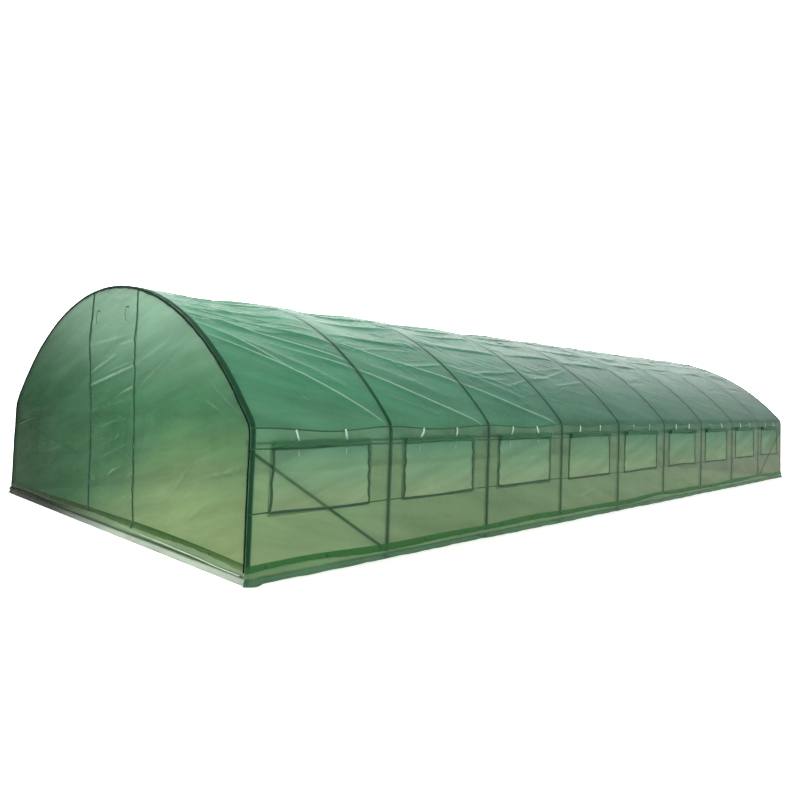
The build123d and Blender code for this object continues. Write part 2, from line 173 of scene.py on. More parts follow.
def colour(code):
    """A linear colour from an sRGB hex code."""
    levels = np.array([int(code[i : i + 2], 16) for i in (1, 3, 5)]) / 255
    linear = np.where(levels > 0.04045, ((levels + 0.055) / 1.055) ** 2.4, levels / 12.92)
    return (*linear.tolist(), 1.0)


def node(tree, kind, options=None, out=0, **sockets):
    """Adds a shader node, sets its options, sets or links its input sockets, and gives its output
    socket `out`. An input is named with underscores for spaces, or by its number as in n3."""
    made = tree.nodes.new("ShaderNode" + kind)
    for option, value in (options or {}).items():
        setattr(made, option, value)
    for key, value in sockets.items():
        numbered = key[0] == "n" and key[1:].isdigit()
        socket = made.inputs[int(key[1:]) if numbered else key.replace("_", " ")]
        if isinstance(value, bpy.types.NodeSocket):
            tree.links.new(value, socket)
        else:
            socket.default_value = value
    return made.outputs[out]


def new_material(name):
    """An empty node material, its tree and the surface socket of its output."""
    made = bpy.data.materials.new(name)
    made.use_nodes = True
    tree = made.node_tree
    tree.nodes.clear()
    return made, tree, tree.nodes.new("ShaderNodeOutputMaterial").inputs["Surface"]


COLOURS = {"data_type": "RGBA"}  # makes a Mix node mix colours, and its output is then the third


def powder_coated_steel(name, light, dark):
    """Polyester powder baked on steel: an even satin green, a little paler where it is chalked,
    with the fine dimples that the powder flows out to."""
    made, tree, surface = new_material(name)
    place = node(tree, "TexCoord", out="Object")
    chalk = node(tree, "TexNoise", Vector=place, Scale=9.0, Detail=4.0)
    blend = node(tree, "Mix", COLOURS, out=2, n0=chalk, n6=colour(dark), n7=colour(light))
    dimples = node(tree, "TexNoise", Vector=place, Scale=700.0, Detail=1.0)
    peel = node(tree, "Bump", Strength=0.1, Distance=0.0003, Height=dimples)
    shader = node(tree, "BsdfPrincipled", Base_Color=blend, Roughness=0.42, Normal=peel)
    tree.links.new(shader, surface)
    return made


def galvanised_steel(name, light, dark, rough):
    """Hot-dipped zinc on pressed steel: a dull grey with a soft spangle of flat crystals, rubbed
    brighter here and there, and a low sheen."""
    made, tree, surface = new_material(name)
    place = node(tree, "TexCoord", out="Object")
    from_crystal = node(tree, "TexVoronoi", Vector=place, Scale=140.0)
    crystal_tint = from_crystal.node.outputs["Color"]
    clouds = node(tree, "TexNoise", Vector=place, Scale=9.0, Detail=4.0)
    blend = node(tree, "Mix", COLOURS, out=2, n0=clouds, n6=colour(dark), n7=colour(light))
    tinted = node(tree, "Mix", COLOURS | {"blend_type": "OVERLAY"}, out=2, n0=0.25, n6=blend,
                  n7=crystal_tint)
    rubbed = node(tree, "MapRange", Value=clouds, n3=rough - 0.08, n4=rough + 0.12)
    grain = node(tree, "Bump", Strength=0.15, Distance=0.0005, Height=from_crystal)
    shader = node(tree, "BsdfPrincipled", Base_Color=tinted, Metallic=0.6, Roughness=rubbed,
                  Normal=grain)
    tree.links.new(shader, surface)
    return made


tube_paint = powder_coated_steel("powder_coated_tube", "#3a4c41", "#24332b")
clamp_zinc = galvanised_steel("pressed_galvanised_steel", "#8d948f", "#5c645f", 0.4)

mouth = ROOF_LENGTH - LEG_TAIL
bow_rows = np.concatenate([[-mouth - SPIGOT_TIP, -mouth, -mouth + SWAGE_LENGTH],
                           np.linspace(-mouth + PLAIN_FROM, mouth - PLAIN_FROM, 45),
                           [mouth - SWAGE_LENGTH, mouth, mouth + SPIGOT_TIP]])
bow_radii = np.full(len(bow_rows), TUBE / 2)
bow_radii[[0, 1, -2, -1]] -= SWAGE
leg_rows = np.concatenate([np.linspace(mouth, ROOF_LENGTH, 7)[:-1],
                           np.linspace(ROOF_LENGTH, ROOF_LENGTH + BEND_LENGTH, 9)[:-1],
                           np.linspace(ROOF_LENGTH + BEND_LENGTH, HOOP_LENGTH - FOOT, 6)])


def hoop_tube(along, place, radii):
    """A round tube along the hoop's line, with a radius for each row."""
    x, z = hoop_line(along)
    path = np.stack([x, np.full(len(x), place), z], -1)
    return carried(path, (0, 1, 0), ring(TUBE_COLUMNS) * np.reshape(radii, (-1, 1, 1)))


for bow, place in zip(BOWS, hoop_places):
    piece(f"{bow}_tube", [hoop_tube(bow_rows, place, bow_radii)], tube_paint, "hoop_tube", bow)
for side, name in ((1, "right_legs"), (-1, "left_legs")):
    legs = [hoop_tube(side * leg_rows, place, np.full(len(leg_rows), TUBE / 2))
            for place in hoop_places]
    piece(f"{name}_tube", legs, tube_paint, "hoop_tube", name)


# ---------------------------------------------------------------- purlins, braces and fittings
# Three purlins of 25 mm tube run under the hoops in pressed saddle clamps. A brace with its
# ends hammered flat is bolted across each corner bay, and a tongue under each leg rests on the
# ground. Clamps and tongues are the frame's own pieces in bare zinc.
PURLIN_TUBE = 0.025
FLAT_WIDTH, FLAT_THICKNESS = 0.036, 0.004
FLAT_LENGTH, PRESSED_LENGTH = 0.080, 0.060
FLAT_OVERHANG = 0.0207  # how far a brace reaches past its end bolts, up and down
PAST_BOLT = 0.010  # and along it
CLAMP_HALF = 0.0172  # from the purlin's line to the clamp's outer face
EAR_STEP = 0.0234  # from the hoop's line to the bolt through the clamp's ears
EAR_RISE = 0.021  # from the purlin's line to that bolt

for name in ("ridge_purlin", "right_purlin", "left_purlin"):
    low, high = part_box(name)
    middle = (low + high) / 2
    line = [(middle.x, y, middle.z) for y in np.linspace(low.y, high.y, 40)]
    tube = carried(line, (0, 0, 1), ring(TUBE_COLUMNS, PURLIN_TUBE / 2, PURLIN_TUBE / 2))
    piece(f"{name}_tube", [tube], tube_paint, "purlin_tube", name)

low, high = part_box("corner_braces")
brace_x = HALF_WIDTH - TUBE / 2 - FLAT_THICKNESS / 2
brace_top = np.array([brace_x, FRONT, high.z - FLAT_OVERHANG])
brace_foot = np.array([brace_x, FRONT + BAY, low.z + FLAT_OVERHANG])
brace_length = np.linalg.norm(brace_foot - brace_top) + 2 * PAST_BOLT
stations = np.array([0, FLAT_LENGTH, FLAT_LENGTH + 0.25 * PRESSED_LENGTH,
                     FLAT_LENGTH + 0.6 * PRESSED_LENGTH, FLAT_LENGTH + PRESSED_LENGTH])
distance = np.concatenate([stations, brace_length - stations[::-1]])
roundness = np.array([0, 0, 0.25, 0.8, 1.0])
roundness = np.concatenate([roundness, roundness[::-1]])
half_across = (FLAT_WIDTH + (PURLIN_TUBE - FLAT_WIDTH) * roundness) / 2
half_through = (FLAT_THICKNESS + (PURLIN_TUBE - FLAT_THICKNESS) * roundness) / 2
brace_run = (brace_foot - brace_top) / np.linalg.norm(brace_foot - brace_top)
brace_path = brace_top + np.outer(distance - PAST_BOLT, brace_run)
brace_rings = ring(TUBE_COLUMNS)[None] * np.stack([half_across, half_through], -1)[:, None]
brace = carried(brace_path, (1, 0, 0), brace_rings)
corners = [(1, 1), (-1, 1), (1, -1), (-1, -1)]
braces = [brace * (sx, sy, 1) for sx, sy in corners]
piece("corner_braces_tube", braces, tube_paint, "purlin_tube", "corner_braces")

for name in ("purlin_clamps", "foot_plates"):
    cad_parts[name].data.materials.clear()
    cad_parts[name].data.materials.append(clamp_zinc)


WASHER = 0.0015  # its thickness
BOLT_PIN = 0.001  # radius that a bolt's head and washer close in to at their middle
BRACE_BOLT, EAR_BOLT = (0.013, 0.006), (0.009, 0.004)  # width and height of the heads


def bolt(place, axis, across, head):
    """A bolt's six-sided head on a wider washer: six-sided rings of one centre, stacked along an
    axis, with a low dome on top."""
    steps = np.array([0, 0, WASHER, WASHER, WASHER + head, WASHER + 0.0003 + head])
    radii = np.array([BOLT_PIN, across * 0.9, across * 0.9, across * 0.58, across * 0.58, BOLT_PIN])
    path = np.asarray(place) + np.outer(steps + np.arange(6) * 1e-6, axis)
    return carried(path, (0.3, 0.2, 0.9), ring(6) * radii[:, None, None])


bolts = []
for end in (brace_top, brace_foot):
    bolts += [bolt(np.array([brace_x - FLAT_THICKNESS / 2, *end[1:]]) * (sx, sy, 1),
                   (-sx, 0, 0), *BRACE_BOLT) for sx, sy in corners]
ridge_low, ridge_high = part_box("ridge_purlin")
eave_low, eave_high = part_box("right_purlin")
ear_ridge = (ridge_low.z + ridge_high.z) / 2 + EAR_RISE
ear_x = (eave_low.x + eave_high.x) / 2 + EAR_RISE
eave_z = (eave_low.z + eave_high.z) / 2
for place in hoop_places[1:-1]:
    for y in (place - EAR_STEP, place + EAR_STEP):
        for way in (1, -1):
            bolts.append(bolt((way * CLAMP_HALF, y, ear_ridge), (way, 0, 0), *EAR_BOLT))
            for side in (1, -1):
                bolts.append(bolt((side * ear_x, y, eave_z + way * CLAMP_HALF), (0, 0, way),
                                  *EAR_BOLT))
piece("frame_bolts", bolts, clamp_zinc, "galvanised_fittings")


# ---------------------------------------------------------------- woven film
# Polyethylene tape woven into cloth and coated on both faces: a green skin about 0.2 mm thick,
# glossy, with a square grid of thicker threads, that passes light and shows what is close to it.
GRID = 0.011  # between the thick threads
FILM_OUT = TUBE / 2 + 0.0018  # the film's middle, off the hoop's line

# The frame shows as painted shade on the cloth, dark marks where a tube blocks the light from
# behind, each full within the first distance from a tube's line and gone at the second. Those of
# the hoops fade between two heights, under the brightest part of the roof.
HOOP_SHADE_REACH = (0.015, 0.026)
BRACE_SHADE_REACH = (0.006, 0.017)
PURLIN_SHADE_REACH = (0.004, 0.012)
HOOP_SHADE_FADE = (1.7, 2.15)
LEAN_ENDS = (-2.5, 1.5)  # places across an end where its levels lean by the two values given
SMOOTH = {"interpolation_type": "SMOOTHSTEP"}


def distance_from(tree, value, level):
    """How far a value is from a level: the size of their difference."""
    apart = node(tree, "Math", {"operation": "SUBTRACT"}, n0=value, n1=level)
    return node(tree, "Math", {"operation": "ABSOLUTE"}, n0=apart)


def painted_frame_shade(tree, across, height, place, hoop_shade, brace_shade):
    """How dark the painted shade is where the frame behind the cloth blocks its light: as given for
    the hoops, as given for the corner braces, and 0.6 of the braces' shade on the eave purlins."""
    counted = node(tree, "Math", {"operation": "SUBTRACT"}, n0=across, n1=FRONT)
    to_hoop = node(tree, "Math", {"operation": "PINGPONG"}, n0=counted, n1=BAY / 2)
    on_hoop = node(tree, "MapRange", SMOOTH, Value=to_hoop, n1=HOOP_SHADE_REACH[0], n2=HOOP_SHADE_REACH[1],
                   n3=hoop_shade, n4=0.0)
    left_over = node(tree, "MapRange", Value=height, n1=HOOP_SHADE_FADE[0], n2=HOOP_SHADE_FADE[1], n3=1.0,
                     n4=0.2)
    hoops = node(tree, "Math", {"operation": "MULTIPLY"}, n0=on_hoop, n1=left_over)
    # All four braces lie on one line once the signs of a place are dropped.
    normal = np.array([0, -brace_run[2], -brace_run[1]])
    corner = node(tree, "VectorMath", {"operation": "ABSOLUTE"}, n0=place)
    beside = node(tree, "VectorMath", {"operation": "DOT_PRODUCT"}, out="Value", n0=corner,
                  n1=normal)
    on_brace = node(tree, "MapRange", SMOOTH, n1=BRACE_SHADE_REACH[0], n2=BRACE_SHADE_REACH[1], n3=brace_shade,
                    n4=0.0, Value=distance_from(tree, beside, float(normal @ np.abs(brace_top))))
    on_purlin = node(tree, "MapRange", SMOOTH, n1=PURLIN_SHADE_REACH[0], n2=PURLIN_SHADE_REACH[1],
                     n3=0.6 * brace_shade, n4=0.0, Value=distance_from(tree, height, eave_z))
    brace_purlin_shade = node(tree, "Math", {"operation": "MAXIMUM"}, n0=on_brace, n1=on_purlin)
    return node(tree, "Math", {"operation": "MAXIMUM"}, n0=hoops, n1=brace_purlin_shade)


def cloth_brightness(tree, across, cloth, crease, fade):
    """How bright the cloth is: a painted shade that changes smoothly between the two places of
    `fade`, streaks where rain and dew have run, and painted shade in the valleys of folds."""
    start, finish, first, last = fade
    shaded = node(tree, "MapRange", SMOOTH, Value=across, n1=start, n2=finish, n3=first, n4=last)
    # The streaks are long and soft, about 0.2 m wide and a metre long, and run aslant.
    turned = node(tree, "Mapping", {"vector_type": "TEXTURE"}, Vector=cloth,
                  Rotation=(0, 0, 0.26), Scale=(1.3, 0.2, 1.0))
    streaks = node(tree, "TexNoise", Vector=turned, Scale=1.1, Detail=4.0, Roughness=0.55)
    washed = node(tree, "MapRange", Value=streaks, n1=0.33, n2=0.67, n3=0.85, n4=1.15)
    streaked = node(tree, "Math", {"operation": "MULTIPLY"}, n0=shaded, n1=washed)
    # The valleys of folds get painted shade.
    valley_shade = node(tree, "MapRange", Value=crease, n1=-1.0, n2=0.0, n3=0.72, n4=1.0)
    return node(tree, "Math", {"operation": "MULTIPLY"}, n0=streaked, n1=valley_shade)


def woven_film(name, levels, shades, glows, veil, clear, fade, gloss, far_shade=0.0, hoop_shade=0.0,
               lean=(0.0, 0.0), brace_shade=0.0):
    """The coated cloth. Its skin and the glow it passes change with height between three `levels`:
    olive at the foot, a painted tint of the ground seen through the cloth, deep green above, and
    paler under the ridge, painted light of the sky. `clear` is the share that shows what is behind,
    tinted with `veil`. `fade` is two places along the cloth and how bright it is painted at each, a
    painted shade, and the far shade is how much greyer and darker it is painted at the second.
    `gloss` is its refraction index. The hoop and brace shade numbers are how dark the frame's
    painted shade is.
    `lean` is how much lower the first levels lie at the two ends of a wall."""
    made, tree, surface = new_material(name)
    cloth = node(tree, "UVMap", {"uv_map": "metres"})
    place = node(tree, "TexCoord", out="Object")
    across = node(tree, "SeparateXYZ", Vector=cloth)
    height = node(tree, "SeparateXYZ", out="Z", Vector=place)
    crease = node(tree, "Attribute", {"attribute_name": "crease"}, out="Fac")
    painted_shade = painted_frame_shade(tree, across, height, place, hoop_shade, brace_shade)
    bright = cloth_brightness(tree, across, cloth, crease, fade)

    leaning = node(tree, "MapRange", Value=across, n1=LEAN_ENDS[0], n2=LEAN_ENDS[1], n3=lean[0],
                   n4=lean[1])
    leant = node(tree, "Math", {"operation": "ADD"}, n0=height, n1=leaning)
    low, middle, high = levels
    first_climb = node(tree, "MapRange", SMOOTH, Value=leant, n1=low, n2=middle)
    second_climb = node(tree, "MapRange", SMOOTH, Value=height, n1=middle, n2=high)
    # Towards the second place of the fade the cloth is painted greyer and darker, a painted shade.
    far_shading = node(tree, "MapRange", Value=across, n1=fade[0], n2=fade[1], n3=0.0, n4=far_shade)
    # Crests of folds are whitened, partly real stress whitening of the film and partly a painted
    # highlight.
    whitening_and_highlight = node(tree, "MapRange", Value=crease, n1=0.1, n2=1.0, n3=0.0, n4=0.6)
    colours = []
    for low_code, middle_code, high_code in (shades, glows):
        lower = node(tree, "Mix", COLOURS, out=2, n0=first_climb, n6=colour(low_code),
                     n7=colour(middle_code))
        whole = node(tree, "Mix", COLOURS, out=2, n0=second_climb, n6=lower, n7=colour(high_code))
        far_shaded = node(tree, "Mix", COLOURS, out=2, n0=far_shading, n6=whole, n7=colour("#507f79"))
        toned = node(tree, "VectorMath", {"operation": "SCALE"}, Vector=far_shaded, Scale=bright)
        worn_and_highlit = node(tree, "Mix", COLOURS, out=2, n0=whitening_and_highlight, n6=toned, n7=colour("#cfe6da"))
        # The frame's painted shade is mixed in last, as a dark green.
        colours.append(node(tree, "Mix", COLOURS, out=2, n0=painted_shade, n6=worn_and_highlit,
                            n7=colour("#185236")))
    # Dust in clouds, and the threads: one wave of the texture is 0.314 over its scale.
    clouds = node(tree, "TexNoise", Vector=place, Scale=1.3, Detail=5.0, Roughness=0.6)
    dusty = node(tree, "MapRange", Value=clouds, n1=0.4, n2=0.8, n3=0.0, n4=0.15)
    faint = node(tree, "Math", {"operation": "MULTIPLY"}, n0=dusty, n1=bright)
    dusted = node(tree, "Mix", COLOURS, out=2, n0=faint, n6=colours[0], n7=colour("#a9c9b4"))
    warp, weft = (node(tree, "TexWave", {"bands_direction": axis}, out="Fac", Vector=cloth,
                       Scale=0.314159 / GRID) for axis in "XY")
    thread = node(tree, "Math", {"operation": "MAXIMUM"}, n0=warp, n1=weft)
    thick = node(tree, "MapRange", Value=thread, n1=0.86, n2=1.0, n3=1.0, n4=0.85)
    # Packing creases: a stretched noise, sharpest where it crosses its middle value.
    creases = node(tree, "TexNoise", Vector=place, Scale=5.0, Detail=5.0, Roughness=0.55,
                   Distortion=1.2)
    waves = node(tree, "Bump", {"invert": True}, Strength=0.6, Distance=0.011,
                 Height=distance_from(tree, creases, 0.5))
    grain = node(tree, "Bump", Strength=0.25, Distance=0.0004, Height=thread, Normal=waves)
    dull = node(tree, "MapRange", Value=painted_shade, n3=0.26, n4=0.6)
    skin = node(tree, "BsdfPrincipled", Base_Color=dusted, Roughness=dull, IOR=gloss,
                Normal=grain)
    passed = node(tree, "VectorMath", {"operation": "SCALE"}, Vector=colours[1], Scale=thick)
    through = node(tree, "BsdfTranslucent", Color=passed, Normal=waves)
    lit = node(tree, "MixShader", n0=0.6, n1=skin, n2=through)
    behind = node(tree, "BsdfTransparent", Color=colour(veil))
    tree.links.new(node(tree, "MixShader", n0=clear, n1=lit, n2=behind), surface)
    return made


# The levels, fades and frame shade numbers of the cloths below paint light and shade: paler tops,
# an olive tint of the ground at the foot, darker bays further back, a darker left side on the ends,
# and the frame's shade.
roof_film = woven_film(
    "woven_roof_film", levels=(0.9, 1.5, 2.3), shades=("#447458", "#3a7258", "#5a967e"),
    glows=("#7aa88a", "#66a488", "#8cc6ac"), veil="#8fc4a6", clear=0.08,
    fade=(-6.0, -0.5, 1.03, 0.69), gloss=1.2, far_shade=0.45, hoop_shade=0.90)
side_film = woven_film(
    "woven_side_film", levels=(0.05, 0.6, 1.1), shades=("#6a805a", "#66805e", "#467a62"),
    glows=("#b6b894", "#b0b892", "#98b8aa"), veil="#a9cf9f", clear=0.13,
    fade=(-6.0, -3.9, 1.04, 0.65), gloss=1.35, hoop_shade=0.85, brace_shade=0.85)
end_film = woven_film(
    "woven_end_film", levels=(0.10, 1.10, 2.40), shades=("#768a60", "#3e6a4c", "#a0bca8"),
    glows=("#b0b08a", "#5e8a6a", "#d6e2d8"), veil="#a9cf9f", clear=0.05,
    fade=(-2.7, 1.9, 0.29, 1.04), gloss=1.06, lean=(1.50, -0.20))
# On the side flaps the pale upper level is a painted highlight on the bulge, and they are darker
# towards the ground. On the end flaps the pale foot is a painted sheen, the dark middle level a
# painted shadow under the fold, and the left side is darker, a painted shade.
side_flap_film = woven_film(
    "side_ground_flap_film", levels=(0.0, 0.038, 0.060), shades=("#2f5436", "#3a6043", "#86ab7e"),
    glows=("#3d6645", "#4c7a55", "#a8cba0"), veil="#b4d3ba", clear=0.12,
    fade=(-3.0, 3.0, 1.0, 1.0), gloss=1.45)
end_flap_film = woven_film(
    "end_ground_flap_film", levels=(0.040, 0.062, 0.085),
    shades=("#d6ded8", "#3f5f48", "#93aa88"), glows=("#f2f6f3", "#4f7458", "#b4c8a2"),
    veil="#dfe8e2", clear=0.08, fade=(-1.4, 0.7, 0.10, 1.0), gloss=1.1)


def coated_tape(name, skin_code, glow_code, through, clear, rough=0.45, gloss=1.45):
    """Tape or doubled film: a plain coated weave with a fine rib across it, that passes the
    share `through` of the light as a glow and shows the share `clear` of what is behind."""
    made, tree, surface = new_material(name)
    place = node(tree, "TexCoord", out="Object")
    clouds = node(tree, "TexNoise", Vector=place, Scale=14.0, Detail=3.0)
    soiled = node(tree, "MapRange", Value=clouds, n3=0.75, n4=1.25)
    body = node(tree, "VectorMath", {"operation": "SCALE"}, Vector=colour(skin_code)[:3],
                Scale=soiled)
    rib = node(tree, "TexWave", {"bands_direction": "DIAGONAL"}, out="Fac", Vector=place,
               Scale=90.0)
    grain = node(tree, "Bump", Strength=0.3, Distance=0.0006, Height=rib)
    skin = node(tree, "BsdfPrincipled", Base_Color=body, Roughness=rough, IOR=gloss, Normal=grain)
    glow = node(tree, "BsdfTranslucent", Color=colour(glow_code))
    lit = node(tree, "MixShader", n0=through, n1=skin, n2=glow)
    behind = node(tree, "BsdfTransparent", Color=colour(glow_code))
    tree.links.new(node(tree, "MixShader", n0=clear, n1=lit, n2=behind), surface)
    return made


seam_weld = coated_tape("doubled_film_seam", "#28552f", "#3a6a40", 0.35, 0.05)


def fold(a, b, start, end, width, rise, bow=0.0, tail=1.0):
    """Height of one long fold in a flat sheet: rise times e to the minus the 1.5th power of the
    distance from its line over its width, times a sine that dies away towards both ends. Its line
    bends sideways by `bow` at the middle, and one of its sides is `tail` times as wide as the
    other."""
    run = np.subtract(end, start)
    length = np.hypot(*run)
    along = np.clip(((a - start[0]) * run[0] + (b - start[1]) * run[1]) / length**2, 0, 1)
    across = ((a - start[0]) * run[1] - (b - start[1]) * run[0]) / length
    across = across - bow * 4 * along * (1 - along)
    wide = np.where(across < 0, width * tail, width)
    return rise * np.sin(np.pi * along) ** 0.6 * np.exp(-(np.abs(across / wide) ** 1.5))


# A fold's whiteness is partly real stress whitening and partly a painted highlight on its crest.
SHARPEST = 42.0  # bend of the film, one over its radius in metres, where a fold is whitest


def creases_of(height, rows, columns):
    """How sharply a sheet is folded at each grid point: minus the sum of its second slopes both
    ways, over the sharpest that shows. Crests are positive and valleys negative, at most 1."""
    bend = sum(np.gradient(np.gradient(height, at, axis=axis), at, axis=axis)
               for axis, at in ((0, rows), (1, columns)))
    return np.clip(-bend / SHARPEST, -1, 1)


def crumples(a, b, count, seed, length, width, rise, lean=0.0, spread=np.pi):
    """Many short folds scattered over a sheet, at random places and angles about `lean`."""
    random = np.random.default_rng(seed)
    height = np.zeros_like(a)
    lows, highs = (a.min(), b.min()), (a.max(), b.max())
    for _ in range(count):
        centre = random.uniform(lows, highs)
        angle = lean + random.uniform(-spread / 2, spread / 2)
        reach = random.uniform(0.5, 1.5) * length / 2
        half = reach * np.array([np.cos(angle), np.sin(angle)])
        thin = width * random.uniform(0.6, 1.4)
        margin = reach + 3 * thin
        near = (np.abs(a - centre[0]) < margin) & (np.abs(b - centre[1]) < margin)
        bump = rise * random.uniform(-0.5, 1)
        height[near] += fold(a[near], b[near], centre - half, centre + half, thin, bump)
    return height


def between_hoops(y):
    """How far a place is from the hoops on its two sides: the square of a sine, 0 on a hoop and 1
    midway."""
    return np.sin(np.pi * (y - FRONT) / BAY) ** 2


def stops(edges, spacing):
    """Grid lines about `spacing` apart, with one exactly on each of the edges."""
    runs = [np.linspace(a, b, max(1, round((b - a) / spacing)) + 1)[:-1]
            for a, b in zip(edges, edges[1:])]
    return np.concatenate([*runs, edges[-1:]])


def strip_outline(width, thickness):
    """The outline of a flat strip with its edges bevelled to a line."""
    edge = width / 2 - thickness
    return [(-width / 2, 0), (-edge, -thickness / 2), (edge, -thickness / 2), (width / 2, 0),
            (edge, thickness / 2), (-edge, thickness / 2)]


# ---------------------------------------------------------------- roof film
# One cloth over all ten hoops, from eave seam to eave seam, made in three lengths that meet on
# hoops. It billows along the ridge, hangs in swags between hoops, and long folds fan out from
# the front hoop to the eaves of the next ones. The seam sags a little in every bay.
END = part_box("roof_cover")[1].y
SEAM_ANGLE = np.arcsin((SEAM - ELBOW_Z) / (ELBOW_RADIUS + FILM_OUT))
SEAM_LENGTH = ROOF_LENGTH + ELBOW_RADIUS * (np.pi / 2 - SHOULDER - SEAM_ANGLE)
ROOF_SAG = 0.040
SEAM_SAG = 0.032
SEAM_OFF = 0.0012  # of a weld's middle from the film's
SEAM_STRIP = (0.011, 0.0016)  # width and thickness of the eave weld
LEFT_SPACING = 0.028  # between grid points down the left flank


def seam_sag(y):
    """How far the eave seam hangs below its straight line: most midway between hoops, with a slow
    sine along the tunnel, so that no two bays hang alike."""
    return SEAM_SAG * between_hoops(y) * (0.8 + 0.3 * np.sin(2.3 * y))


# Long folds of the right flank. Each has its start and end as a length from the front hoop and
# one down the hoop from the ridge, its half width, rise, bow and the width of its lower side.
TENSION_FOLDS = (
    ((-0.05, 1.80), (1.33, 2.90), 0.013, 0.013, 0.075, 2.5),
    ((-0.06, 1.58), (0.62, 2.24), 0.020, 0.012, 0.040, 2.0),
    ((0.10, 1.72), (1.15, 2.52), 0.034, 0.007, 0.060, 2.0),
    ((-0.06, 1.42), (1.38, 2.13), 0.016, 0.018, 0.040, 2.0),
    ((0.55, 1.82), (2.68, 2.92), 0.014, 0.014, 0.020, 3.0),
    ((-0.06, 1.24), (1.50, 1.88), 0.015, 0.015, 0.030, 2.0),
    ((0.66, 1.50), (2.80, 2.37), 0.014, 0.016, 0.020, 4.0),
    ((2.40, 2.22), (4.02, 2.92), 0.014, 0.013, 0.025, 3.0),
    ((0.10, 1.63), (1.45, 1.72), 0.090, 0.010, 0.030, 0.25),
    ((1.35, 1.62), (2.70, 1.70), 0.100, 0.018, 0.060, 0.22),
    ((2.66, 1.60), (4.05, 1.70), 0.100, 0.018, 0.080, 0.22),
    ((1.90, 2.09), (2.72, 2.02), 0.030, 0.008, 0.000, 0.5),
    ((3.20, 2.10), (4.02, 2.03), 0.030, 0.008, 0.000, 0.5),
    ((2.66, 2.00), (3.60, 2.32), 0.014, 0.008, 0.020, 2.0),
    ((3.40, 2.32), (4.05, 2.17), 0.012, 0.007, 0.000, 2.0),
    ((2.68, 2.08), (3.70, 2.56), 0.030, 0.006, 0.040, 2.0),
    ((1.40, 2.05), (2.30, 2.50), 0.030, 0.005, 0.030, 2.0),
    ((1.40, 2.50), (2.20, 2.78), 0.026, 0.004, 0.010, 2.0),
    ((4.00, 2.20), (5.30, 1.88), 0.014, 0.009, 0.000, 2.0),
    ((4.50, 2.24), (5.30, 2.15), 0.013, 0.008, 0.000, 2.0),
    ((0.00, 1.10), (1.40, 1.60), 0.016, 0.010, 0.030, 2.0),
    ((0.00, 0.96), (1.36, 1.34), 0.018, 0.010, 0.030, 2.0),
)


def roof_height(y, along):
    """How far the roof film stands off its straight form between hoops: a hollow that fades as a
    cosine from ridge to eave, plus folds and crumples, all nothing on a hoop. The left flank
    repeats the right one from the back."""
    flank = np.abs(along) / SEAM_LENGTH
    middle = between_hoops(y)
    slack = np.clip(1.1 - (y - FRONT) / (END - FRONT), 0.1, 1)
    height = -ROOF_SAG * slack * middle * np.cos(np.pi / 2 * np.clip(flank / 0.8, 0, 1)) ** 0.7
    height *= 1 - 0.5 * np.exp(-((along / 0.25) ** 2))
    for side in (1, -1):
        for each in TENSION_FOLDS:
            height += fold(side * y - FRONT, side * along, *each)
        # Swags in the further bays: a bulge that ends in a ledge, and creases below it.
        random = np.random.default_rng(3 + side)
        for bay, hoop in enumerate(hoop_places[:-1]):
            ledges = ((1.66, 0.110, 0.018), (1.28, 0.085, 0.016), (0.92, 0.075, 0.016),
                      (0.60, 0.060, 0.014))
            for level, wide, rise in ledges[(bay < 3):]:
                at = side * (level + random.uniform(-0.08, 0.08))
                start = (hoop + random.uniform(-0.05, 0.25), side * at)
                finish = (hoop + BAY - random.uniform(-0.05, 0.25),
                          side * at + random.uniform(-0.09, 0.06))
                height += fold(side * y, side * along, start, finish, wide, rise,
                               random.uniform(0.02, 0.09), 0.22)
            for _ in range(13):
                at = random.uniform(0.35, 2.2)
                begin = hoop + random.uniform(-0.05, 0.6)
                height += fold(y, side * along, (begin, at),
                               (begin + random.uniform(0.4, 0.9), at + random.uniform(-0.16, 0.12)),
                               random.uniform(0.012, 0.024), random.uniform(-0.008, 0.011),
                               random.uniform(0, 0.05), 2.0)
    rough = np.clip(1.35 - flank * 1.25, 0.05, 1) * np.clip((y - FRONT) / (2 * BAY), 0.6, 1)
    height += crumples(y, along, 620, 11, 0.40, 0.015, 0.010, lean=0.1, spread=1.8) * rough
    held = np.clip(middle * 14 + 0.25, 0, 1)
    return np.maximum(height * held, -0.001 - 0.2 * middle)


def roof_length(first, last, spacing, finer, name):
    """The roof film between two places along the tunnel, with a grid point every `spacing` along
    it and every `finer` down its right flank."""
    rows = stops([first, last], spacing)
    columns = np.concatenate([stops([-SEAM_LENGTH, 0], LEFT_SPACING)[:-1],
                              stops([0, SEAM_LENGTH], finer)])
    y, flat = np.meshgrid(rows, columns, indexing="ij")
    along = flat * (1 + seam_sag(y) / SEAM_LENGTH)
    height = roof_height(y, flat)
    x, z = hoop_line(along, FILM_OUT + height)
    made = piece(name, [np.stack([x, y, z], -1)], roof_film, "roof_film", "roof_cover",
                 closed=False, metres=np.stack([y, flat], -1),
                 crease=creases_of(height, rows, columns))


def seam_line(rows, side, down, sag, out):
    """A line along the tunnel on the film, `down` the hoop and hanging by `sag`."""
    x, z = hoop_line(np.full(len(rows), float(down)) + sag, out)
    return np.stack([side * x, side * rows, z], -1)


